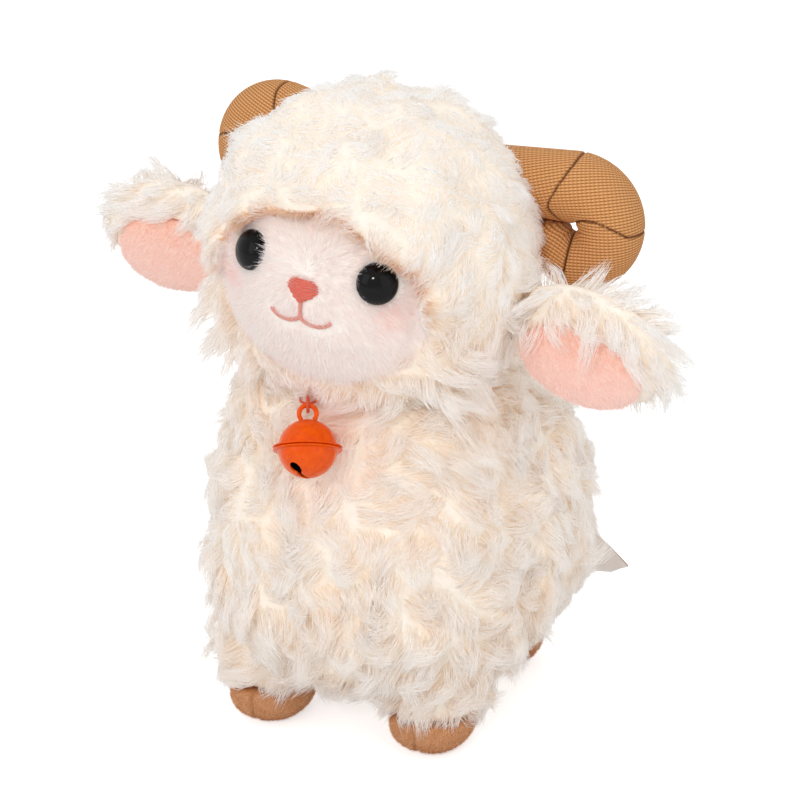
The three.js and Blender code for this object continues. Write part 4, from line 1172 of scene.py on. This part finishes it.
def horn_knit(places, rows):
    """Where each place of the horn lies on its knit: along a rib and across the ribs, in mm, and how
    deep in a seam it is."""
    x, z = places[:, 0], places[:, 2]
    from_eye = np.hypot(x, z)
    angle = np.degrees(np.arctan2(z, x))
    angle = np.where((angle > 140) & (x > -14) & (z < 1.2), angle - 360, angle)
    angle = np.where(angle < -170, -170, angle)
    panel = np.zeros(len(places), int)
    seam = np.zeros(len(places))
    for number, (radii, angles) in enumerate(SEAMS, 1):
        line = np.interp(from_eye, radii, angles)
        panel[angle < line] = number
        gap = np.radians(np.abs(angle - line)) * from_eye
        seam = np.maximum(seam, np.exp(-(gap / SEAM_WIDTH) ** 2))
    slope = np.radians(np.array(PANEL_SLOPES)[panel])
    x, z = laid_flat(places, rows)
    return np.cos(slope) * x + np.sin(slope) * z, np.cos(slope) * z - np.sin(slope) * x, seam


def horn_pose(side):
    """A horn's own place: x out of the head and z up in the horn's plane."""
    turn = Matrix.Rotation(HORN_YAW, 4, "Z") @ Matrix.Rotation(-HORN_ROLL, 4, "Y")
    return head_side(side) @ Matrix.Translation(HORN_PLACE) @ turn


# %% Knit material


def knit_material():
    """Ribbed knit: small slanted stitches and darker seams, coloured by height, so the rib tops are pale
    and the grooves and stitch gaps are dark as painted shade.
    """
    material, nodes, links, shader = new_material("ribbed_knit")
    places = nodes.new("ShaderNodeUVMap")
    places.uv_map = "knit"
    split = nodes.new("ShaderNodeSeparateXYZ")
    links.new(places.outputs["UV"], split.inputs[0])

    def maths(operation, *terms):
        """The result of a sum on numbers or on other nodes' outputs."""
        node = nodes.new("ShaderNodeMath")
        node.operation = operation
        for socket, term in zip(node.inputs, terms):
            if isinstance(term, (int, float)):
                socket.default_value = term
            else:
                links.new(term, socket)
        return node.outputs[0]

    run, rib = split.outputs["X"], split.outputs["Y"]
    top = maths("ABSOLUTE", maths("SINE", maths("MULTIPLY", rib, math.pi)))
    slant = maths("ADD", run, maths("MULTIPLY", maths("PINGPONG", rib, 0.5), 1.1))
    stitch = maths("MULTIPLY", maths("PINGPONG", slant, 0.5), 2)
    stitch_relief = maths("ADD", maths("MULTIPLY", stitch, 0.45), 0.55)
    height = maths("MULTIPLY", maths("POWER", top, 0.6), stitch_relief)
    # Painted shade: the lower a place of the knit, the darker its colour, in the grooves and between
    # stitches.
    stops = ramp(nodes, [
        (0.1, linear(146, 90, 48)), (0.45, linear(196, 134, 80)),
        (0.8, linear(230, 170, 112)), (1, linear(241, 188, 132)),
    ])
    links.new(height, stops.inputs["Fac"])
    seam = nodes.new("ShaderNodeAttribute")
    seam.attribute_name = "seam"
    colour = mixed(nodes, links, seam.outputs["Fac"], stops.outputs["Color"], linear(92, 46, 22))
    links.new(colour, shader.inputs["Base Color"])
    raised(nodes, links, shader, height, 0.8, 0.35 * MM)
    set_inputs(shader, {"Roughness": 0.85, "Specular IOR Level": 0.2})
    return material


knit = knit_material()

# %% Horns
HORN_SIDES = 140

for side, word in SIDES:
    rows = [(x, 0, z, radius) for x, z, radius in horn_line()]
    horn = tubes(f"{word}_horn_knit", [rows], 1, HORN_SIDES)
    mesh = horn.data
    places, normals = (values_of(mesh.vertices, key, 3) for key in ("co", "normal"))
    run, across, seam = horn_knit(places, rows)
    places = places - normals * SEAM_DEPTH * seam[:, None]
    layer = mesh.attributes.new("seam", "FLOAT", "POINT")
    layer.data.foreach_set("value", seam.astype(np.float32))
    corners = values_of(mesh.loops, "vertex_index", 1, np.int32)
    layer = mesh.uv_layers.new(name="knit")
    spots = np.column_stack([run / STITCH_PITCH, across / RIB_PITCH])[corners]
    layer.uv.foreach_set("vector", spots.astype(np.float32).ravel())
    mesh.vertices.foreach_set("co", turned(horn_pose(side), places * MM).ravel())
    if side < 0:
        mesh.flip_normals()
    mesh.update()
    mesh.materials.append(knit)
    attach(horn, "sheep")
    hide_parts(f"{word}_horn_cover", f"{word}_horn_stuffing")
    print(horn.name, sum(len(f.vertices) - 2 for f in mesh.polygons), "triangles")

# %% [markdown]
# ## Eyes
# Each eye is a black plastic dome, moulded in one piece with a post that goes through the plush into
# a washer. Its outline is drawn once and spun round the post.

# %% Eyes


def arc(radius, angles):
    """Places on a circle, as (across, up)."""
    return [(radius * math.cos(angle), radius * math.sin(angle)) for angle in angles]


def spun(name, outline, steps, pose):
    """A closed piece turned from an outline of (radius, height), placed by a pose."""
    bpy.ops.object.select_all(action="DESELECT")
    mesh = bpy.data.meshes.new(name)
    edges = [(i, i + 1) for i in range(len(outline) - 1)]
    mesh.from_pydata([(r * MM, 0, h * MM) for r, h in outline], edges, [])
    piece = bpy.data.objects.new(name, mesh)
    scene.collection.objects.link(piece)
    only(piece)
    bpy.ops.object.mode_set(mode="EDIT")
    bpy.ops.mesh.select_all(action="SELECT")
    bpy.ops.mesh.spin(steps=steps, angle=2 * math.pi, center=(0, 0, 0), axis=(0, 0, 1))
    bpy.ops.mesh.select_all(action="SELECT")
    bpy.ops.mesh.remove_doubles(threshold=WELD)
    bpy.ops.mesh.normals_make_consistent(inside=False)
    bpy.ops.object.mode_set(mode="OBJECT")
    mesh.transform(pose)
    if pose.determinant() < 0:
        mesh.flip_normals()
    bpy.ops.object.shade_smooth_by_angle(angle=math.radians(40))
    return piece


def gloss_material(name, deep, high, roughness, grain, depth, specular=0.5, metal=0):
    """A smooth moulded, painted or metal finish, faintly wavy and speckled."""
    material, nodes, links, shader = new_material(name)
    noise = grained(nodes, links, shader, deep, high, grain, 3)
    rough = nodes.new("ShaderNodeMapRange")
    set_inputs(rough, {"To Min": roughness * 0.7, "To Max": roughness * 1.4})
    links.new(noise, rough.inputs["Value"])
    links.new(rough.outputs["Result"], shader.inputs["Roughness"])
    raised(nodes, links, shader, noise, 0.25, depth)
    set_inputs(shader, {"Specular IOR Level": specular, "Metallic": metal})
    return material


def face_point(x, z, lift=0):
    """A place on or above the upright head's face form, and the way straight out of it, in metres."""
    at = np.array((x, 0, z - FACE_MIDDLE[2])) / FACE_HALF
    depth = math.sqrt(1 - at[0] ** 2 - at[2] ** 2)
    out = unit(np.array((at[0], -depth, at[2])) / FACE_HALF)
    return np.array((x, FACE_MIDDLE[1] - FACE_HALF[1] * depth, z)) + out * lift, out


EYE_RADIUS = 6
EYE_HEIGHT = 3.6
dome = [(EYE_RADIUS * math.cos(a), EYE_HEIGHT * math.sin(a)) for a in np.linspace(math.pi / 2, 0, 22)]
dome[0] = (0, EYE_HEIGHT)
post = [(6.05, -0.2), (5.9, -0.5), (5.2, -1.2), (2, -1.5)]
for height in np.arange(-2.4, -8.4, -1.2):
    post += [(1.8, height), (1.8, height - 0.5), (1.5, height - 0.7), (1.5, height - 1)]
post += [(1.2, -8.8), (0, -9)]
eye_plastic = gloss_material(
    "eye_plastic", (6, 5, 6), (12, 10, 11), 0.07, grain=3 * MM, depth=0.05 * MM, specular=0.15,
)

for side, word in SIDES:
    place, out = face_point(EYE_X * MM, EYE_Z * MM)
    stand = Matrix.Translation(place) @ Vector(out).to_track_quat("Z", "Y").to_matrix().to_4x4()
    eye = spun(f"{word}_eye_dome", dome + post, 56, head_side(side) @ stand)
    eye.data.materials.append(eye_plastic)
    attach(eye, "sheep")
    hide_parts(f"{word}_eye")
print("eyes", len(eye.data.polygons), "faces each")

# %% [markdown]
# ## Nose and mouth
# Both are satin stitch: threads laid side by side from edge to edge. Each thread is a thin tube that
# arches over the plush. The nose is filled by level threads, and the mouth by short ones across its
# line.

# %% Embroidery


def threads(name, strands, radius, material, body, sides=6):
    """One piece of many thin tubes. A strand is a list of places in metres."""
    piece = tubes(name, [[(*place, 1) for place in strand] for strand in strands], radius, sides)
    piece.data.materials.append(material)
    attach(piece, body)
    print(name, len(strands), "threads,", len(piece.data.polygons), "faces")
    return piece


def stitch(start, end, height, steps=6):
    """A thread from one point of the face to another, arching over it. Points are (x, z) in mm."""
    line = []
    for share in np.linspace(0, 1, steps):
        x, z = (1 - share) * np.array(start) + share * np.array(end)
        arch = height * math.sin(math.pi * share) ** 0.5 - 0.15
        place, _ = face_point(x * MM, z * MM, arch * MM)
        line.append(head_turn @ Vector(place))
    return line


NOSE_HALF_WIDTH = 4.8
NOSE_TOP = 164.3
NOSE_FOOT = 157.6
THREAD_GAP = 0.34
THREAD_RADIUS = 0.17 * MM
RAGGED = 0.18

rng = np.random.default_rng(41)
nose_strands = []
for z in np.arange(NOSE_FOOT + 0.1, NOSE_TOP, THREAD_GAP):
    share = (z - NOSE_FOOT) / (NOSE_TOP - NOSE_FOOT)
    corner = max(0, share - 0.66) / 0.4
    widening = min(1, 1.15 * math.sin(math.pi / 2 * share ** 0.66))
    half = NOSE_HALF_WIDTH * widening * math.sqrt(1 - corner ** 2)
    left = -half + rng.normal(0, RAGGED)
    right = half + rng.normal(0, RAGGED)
    tilt = rng.normal(0, 0.1)
    nose_strands.append(stitch((left, z - tilt), (right, z + tilt), 1.25, 9))

mouth_strands = []
centre_line = [((0, z), (1, 0.25)) for z in np.arange(153.4, 157.9, THREAD_GAP)]
for side in (-1, 1):
    for angle in np.arange(0.05, 0.95 * math.pi, THREAD_GAP / 3.3):
        way = unit(np.array((side * MOUTH_HALF * math.sin(angle), -MOUTH_DIP * math.cos(angle))))
        cross = (-way[1] + 0.25 * way[0], way[0] + 0.25 * way[1])
        centre_line.append((smile(side, angle, 153.6), cross))
for place, cross in centre_line:
    reach = 0.4 * rng.uniform(0.7, 1.4)
    start = np.array(place) - reach * np.array(cross)
    end = np.array(place) + reach * np.array(cross)
    mouth_strands.append(stitch(start, end, 0.75, 5))


def thread_material(name, deep, high):
    """Shiny twisted thread."""
    return cloth_material(name, deep, high, 0.25 * MM, 0.05 * MM, roughness=0.5, specular=0.4, sheen=0.2)


nose_thread = thread_material("nose_thread", (208, 76, 62), (242, 132, 110))
mouth_thread = thread_material("mouth_thread", (208, 120, 108), (244, 186, 174))
nose = threads("nose_satin", nose_strands, THREAD_RADIUS, nose_thread, "sheep")
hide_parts("nose_embroidery")
mouth = threads("mouth_satin", mouth_strands, THREAD_RADIUS, mouth_thread, "sheep")
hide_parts("mouth_embroidery")

# %% [markdown]
# ## Hooves
# A hoof is a pad of short tan plush, flat at the sole, with a split seam in the toe. It is shaped
# from a ball, cut flat below and above, rounded by a remesh, pressed in along the split, and covered
# with very short hairs.

# %% Hooves
HOOF_HALF = (13, 14.5, 9.5)
HOOF_TOP = 12.2
HOOF_SQUARENESS = 2.3
SOLE_CUT = 0.5
TOE_SPLIT = 1.5 * MM
HOOF_PLACES = {
    "front_left": (22.02, -30.8),
    "front_right": (-33.98, -34.8),
    "hind_left": (17.02, 34.2),
    "hind_right": (-32.98, 33.2),
}

hoof_fibre = fibre_material("hoof_fibre", {
    0: ((192, 134, 90), (216, 160, 116), (228, 178, 136)),
    1: ((214, 160, 116), (236, 190, 146), (246, 208, 168)),
})
hoof_cloth = cloth_material("hoof_cloth", (176, 120, 80), (204, 150, 108), 1 * MM, 0.2 * MM)
HOOF_PLUSH = {"length": 1.3 * MM, "width": 0.19 * MM, "density": 6.5 / MM2, "lean": 62}

for leg, (x, y) in HOOF_PLACES.items():
    name = f"{leg}_hoof"
    middle = Vector((x, y, HOOF_HALF[2] - SOLE_CUT)) * MM
    bpy.ops.object.select_all(action="DESELECT")
    bpy.ops.mesh.primitive_uv_sphere_add(segments=48, ring_count=24, radius=1)
    hoof = bpy.context.active_object
    hoof.name = f"{name}_cloth"
    for vertex in hoof.data.vertices:
        bulged = [math.copysign(abs(v) ** (2 / HOOF_SQUARENESS), v) for v in vertex.co]
        vertex.co = middle + Vector(v * half * MM for v, half in zip(bulged, HOOF_HALF))
    bpy.ops.object.mode_set(mode="EDIT")
    for height, upward in ((0.3, False), (HOOF_TOP, True)):
        bpy.ops.mesh.select_all(action="SELECT")
        bpy.ops.mesh.bisect(
            plane_co=(0, 0, height * MM), plane_no=(0, 0, 1), use_fill=True,
            clear_inner=not upward, clear_outer=upward,
        )
    bpy.ops.object.mode_set(mode="OBJECT")
    apply_modifier(hoof, "REMESH", mode="VOXEL", voxel_size=0.7 * MM, use_smooth_shade=True)
    apply_modifier(hoof, "SMOOTH", factor=0.5, iterations=5)
    for vertex in hoof.data.vertices:
        off = abs(vertex.co.x - middle.x)
        ahead = np.interp(middle.y - vertex.co.y, [6 * MM, 9 * MM], [0, 1])
        vertex.co.y += TOE_SPLIT * ahead * math.exp(-((off / (0.55 * MM)) ** 2))
    only(hoof)
    bpy.ops.object.shade_smooth()
    hoof.data.materials.append(hoof_cloth)
    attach(hoof, "sheep")
    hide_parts(name)

    def above_sole(points):
        """The hoof's sides, but not the split in its toe."""
        split = (np.abs(points[:, 0] - middle.x) < 0.45 * MM) & (points[:, 1] < middle.y - 7 * MM)
        return (points[:, 2] > 0.9 * MM) & (points[:, 2] < 11.6 * MM) & ~split

    def hoof_flow(points, normals, rng):
        """Out from the hoof's middle and down."""
        out = points - np.array(middle)
        out[:, 2] = -4 * MM
        return unit(out) + rng.normal(0, 0.3, out.shape)

    def hoof_tint(points):
        """Lighter and darker blotches about six millimetres across."""
        return 0.5 + 0.3 * waves(points, 6 * MM, 9)

    grown = sown(skin_of(hoof), above_sole, hoof_flow, HOOF_PLUSH, hoof_tint, 51)
    planted(f"{name}_plush", grown, "sheep", hoof_fibre)

# %% [markdown]
# ## Bell
# The bell is two pressed half shells, crimped together by a rolled band, and painted orange. The
# lower half has a slot that ends in round holes. Each half is an outline spun round the bell's axis,
# and a boolean cuts the slot. The loop on top is bent wire.

# %% Bell
BELL_RADIUS = 8.8
BELL_WALL = 0.6
BAND = ((9.05, 0.72), (9.9, 0.72), (10.25, 0.66), (10.4, 0.45), (10.35, 0.25), (10.2, 0.15), (8.4, 0.15))
BELL_PLACE = Vector((-2.977, -65.40, 108.3)) * MM
BELL_TILT = math.radians(32)
BELL_TURN = math.radians(27)
SLOT_TURN = math.radians(54)
bell_round = Matrix.Rotation(BELL_TURN, 4, "Z")
bell_pose = Matrix.Translation(BELL_PLACE) @ bell_round @ Matrix.Rotation(-BELL_TILT, 4, "X")
slot_pose = bell_pose @ Matrix.Rotation(SLOT_TURN, 4, "Z")


def shell_outline():
    """Half a bell from its pole round the band and back inside, as (radius, height) in mm."""
    hollow = BELL_RADIUS - BELL_WALL
    outer = arc(BELL_RADIUS, np.linspace(math.pi / 2, 0.11, 20))
    inner = arc(hollow, np.linspace(0.05, math.pi / 2, 16))
    outer[0], inner[-1] = (0, BELL_RADIUS), (0, hollow)
    return [*outer, *BAND, *inner]


bell_paint = gloss_material(
    "bell_paint", (226, 76, 0), (240, 92, 0), 0.05, grain=1.6 * MM, depth=0.06 * MM, specular=0.16,
)
# Bare metal inside the bell, nearly black as painted shade in the hollow.
bell_dark = gloss_material(
    "bell_inside", (24, 16, 12), (46, 30, 20), 0.4, grain=1.5 * MM, depth=0.05 * MM, metal=0.6,
)


def bell_half(name, node, pose):
    """Half the bell, painted orange outside. Inside it is bare metal, nearly black as painted shade in
    the hollow.
    """
    half = spun(name, shell_outline(), 64, pose)
    half.data.materials.append(bell_paint)
    half.data.materials.append(bell_dark)
    # Faces that look into the hollow get the nearly black inside: bare metal, with painted shade.
    for face in half.data.polygons:
        reach = face.center - BELL_PLACE
        if reach.length < (BELL_RADIUS - 0.3) * MM and face.normal.dot(reach) < 0:
            face.material_index = 1
    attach(half, "bell")
    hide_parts(node)
    return half


upper = bell_half("bell_upper_half", "bell_upper_shell", bell_pose)
lower = bell_half("bell_lower_half", "bell_lower_shell", bell_pose @ Matrix.Rotation(math.pi, 4, "X"))

# %% Bell slot
HOLE_REACH = 0.62 * BELL_RADIUS
HOLE_RADIUS = 1.75
SLOT_WIDTH = 1.5
CUT_DEPTH = 9
CUT_LEVEL = -8.5


def cut_from(piece, cutter, across):
    """Cuts a tool out of a piece, moved across the slot's middle and down to its level."""
    cutter.data.transform(slot_pose @ Matrix.Translation((across * MM, 0, CUT_LEVEL * MM)))
    apply_modifier(piece, "BOOLEAN", operation="DIFFERENCE", solver="EXACT", object=cutter)
    bpy.data.objects.remove(cutter)


bpy.ops.object.select_all(action="DESELECT")
bpy.ops.mesh.primitive_cube_add(size=1)
cutter = bpy.context.active_object
cutter.data.transform(Matrix.Diagonal((2 * HOLE_REACH * MM, SLOT_WIDTH * MM, CUT_DEPTH * MM, 1)))
cut_from(lower, cutter, 0)
for side in (-1, 1):
    bpy.ops.object.select_all(action="DESELECT")
    bpy.ops.mesh.primitive_cylinder_add(vertices=40, radius=HOLE_RADIUS * MM, depth=CUT_DEPTH * MM)
    cut_from(lower, bpy.context.active_object, side * HOLE_REACH)
print("bell halves", len(upper.data.polygons), len(lower.data.polygons), "faces")

# %% Bell loop
LOOP_RADIUS = 2.6
LOOP_WIRE_RADIUS = 0.7
LOOP_RISE = BELL_RADIUS + 1.7

bent = arc(LOOP_RADIUS, np.linspace(-math.pi / 4, 1.25 * math.pi, 40))
loop_points = [bell_pose @ (Vector((x, 0, LOOP_RISE + z)) * MM) for x, z in bent]
loop = threads("bell_wire_loop", [loop_points], LOOP_WIRE_RADIUS * MM, bell_paint, "bell", 20)
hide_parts("bell_loop")

# %% [markdown]
# ## Bell thread
# A thread ring ties the bell's loop to a tack stitch in the chest. Both are twisted from strands, as
# embroidery thread is, so three or four thin tubes wind round each other.

# %% Bell thread
bell_thread = thread_material("bell_thread", (196, 60, 24), (226, 96, 48))


def twisted(path, radius, pitch, strands=3, closed=False):
    """The strands of a twisted thread along a path, in metres."""
    path = np.array(path)
    beyond = path[:1] if closed else path[-1:] * 2 - path[-2:-1]
    steps = np.diff(path, axis=0, append=beyond)
    ahead = unit(steps)
    run = np.concatenate([[0], np.cumsum(np.linalg.norm(steps, axis=1))[:-1]])
    total = run[-1] + np.linalg.norm(steps[-1]) if closed else run[-1]
    turns = max(1, round(total / pitch))
    side = unit(np.cross(ahead, np.array((0.31, 0.87, 0.38))))
    rise = np.cross(ahead, side)
    lines = []
    for strand in range(strands):
        angle = 2 * math.pi * (strand / strands + turns * run / total)
        line = path + radius * (np.cos(angle)[:, None] * side + np.sin(angle)[:, None] * rise)
        if closed:
            line = np.concatenate([line, line[:2]])
        lines.append([tuple(place) for place in line])
    return lines


RING_MIDDLE = Vector((-6.4695, -58.5495, 119.4094))
RING_RADIUS = 2.2
TACK_HALF = 2.4
STRAND_RADIUS = 0.23 * MM

ring_pose = Matrix.Scale(MM, 4) @ Matrix.Translation(RING_MIDDLE) @ bell_round
ring_path = [(0, y, z) for y, z in arc(RING_RADIUS, np.linspace(0, 2 * math.pi, 60, endpoint=False))]
ring_strands = twisted(turned(ring_pose, np.array(ring_path)), 0.3 * MM, 1.8 * MM, strands=4, closed=True)
ring = threads("bell_thread_loop", ring_strands, STRAND_RADIUS, bell_thread, "thread")
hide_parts("bell_thread_ring")

tack_path = [(TACK_HALF * math.cos(a), 3.9 - 3 * math.sin(a), 0) for a in np.linspace(0, math.pi, 30)]
tack_path = [(TACK_HALF, 7.7, 0), *tack_path, (-TACK_HALF, 7.7, 0)]
tack_strands = twisted(turned(ring_pose, np.array(tack_path)), 0.24 * MM, 1.6 * MM)
tack = threads("bell_tack_thread", tack_strands, STRAND_RADIUS, bell_thread, "sheep")
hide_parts("bell_tack_stitch")

# %% [markdown]
# ## Label
# A strip of woven satin, folded in half, is sewn into the flank's seam by its ends. It carries
# nothing. The strip is a grid of cloth laid along the fold, with a little curl.

# %% Label
LABEL_ROOT = Vector((44.096, 35.761, 45.5)) * MM
LABEL_LENGTH = 15
LABEL_WIDTH = 14
LABEL_TURN = math.radians(27)
LABEL_DIP = math.radians(30)
LABEL_TWIST = math.radians(60)
LABEL_THICK = 0.18 * MM
LABEL_CURL = 0.8
FOLD = 0.3

label_pose = (
    Matrix.Translation(LABEL_ROOT)
    @ Matrix.Rotation(LABEL_TURN, 4, "Z")
    @ Matrix.Rotation(LABEL_DIP, 4, "Y")
)
bpy.ops.object.select_all(action="DESELECT")
bpy.ops.mesh.primitive_grid_add(x_subdivisions=90, y_subdivisions=30, size=1)
label = bpy.context.active_object
label.name = "folded_label"
for vertex in label.data.vertices:
    run = (vertex.co.x + 0.5) * 2 * LABEL_LENGTH
    width = vertex.co.y * LABEL_WIDTH
    straight = LABEL_LENGTH - FOLD
    if run < straight:
        x, y = run, -FOLD
    elif run < straight + math.pi * FOLD:
        angle = (run - straight) / FOLD
        x, y = straight + FOLD * math.sin(angle), -FOLD * math.cos(angle)
    else:
        x, y = max(2 * LABEL_LENGTH - run, 0), FOLD
    share = x / LABEL_LENGTH
    y += LABEL_CURL * share ** 2 * math.sin(width / LABEL_WIDTH * 2.2 + 0.6)
    twist = Matrix.Rotation(LABEL_TWIST * share, 4, "X")
    vertex.co = label_pose @ twist @ (Vector((x, y, width)) * MM)
apply_modifier(label, "SOLIDIFY", thickness=LABEL_THICK, offset=0)
only(label)
bpy.ops.object.shade_smooth_by_angle(angle=math.radians(50))
label_satin = cloth_material(
    "label_satin", (232, 222, 214), (246, 240, 234), 0.5 * MM, 0.05 * MM, roughness=0.45,
)
label.data.materials.append(label_satin)
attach(label, "label")
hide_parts("care_label")
print("label", len(label.data.polygons), "faces")

# %% [markdown]
# ## The hidden fittings
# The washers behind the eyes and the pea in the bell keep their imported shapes. They get the finish of
# moulded plastic and of steel.

# %% Hidden fittings
washer_plastic = gloss_material(
    "washer_plastic", (226, 226, 222), (238, 238, 236), 0.45, grain=2 * MM, depth=0.05 * MM,
)
pea_steel = gloss_material(
    "pea_steel", (120, 120, 122), (160, 160, 162), 0.35, grain=1 * MM, depth=0.03 * MM, metal=1,
)
FINISHES = {
    "left_eye_washer": washer_plastic,
    "right_eye_washer": washer_plastic,
    "bell_pea": pea_steel,
}
for name, finish in FINISHES.items():
    for place in frame["nodes"][name].material_slots:
        place.material = finish
print("hidden fittings painted")
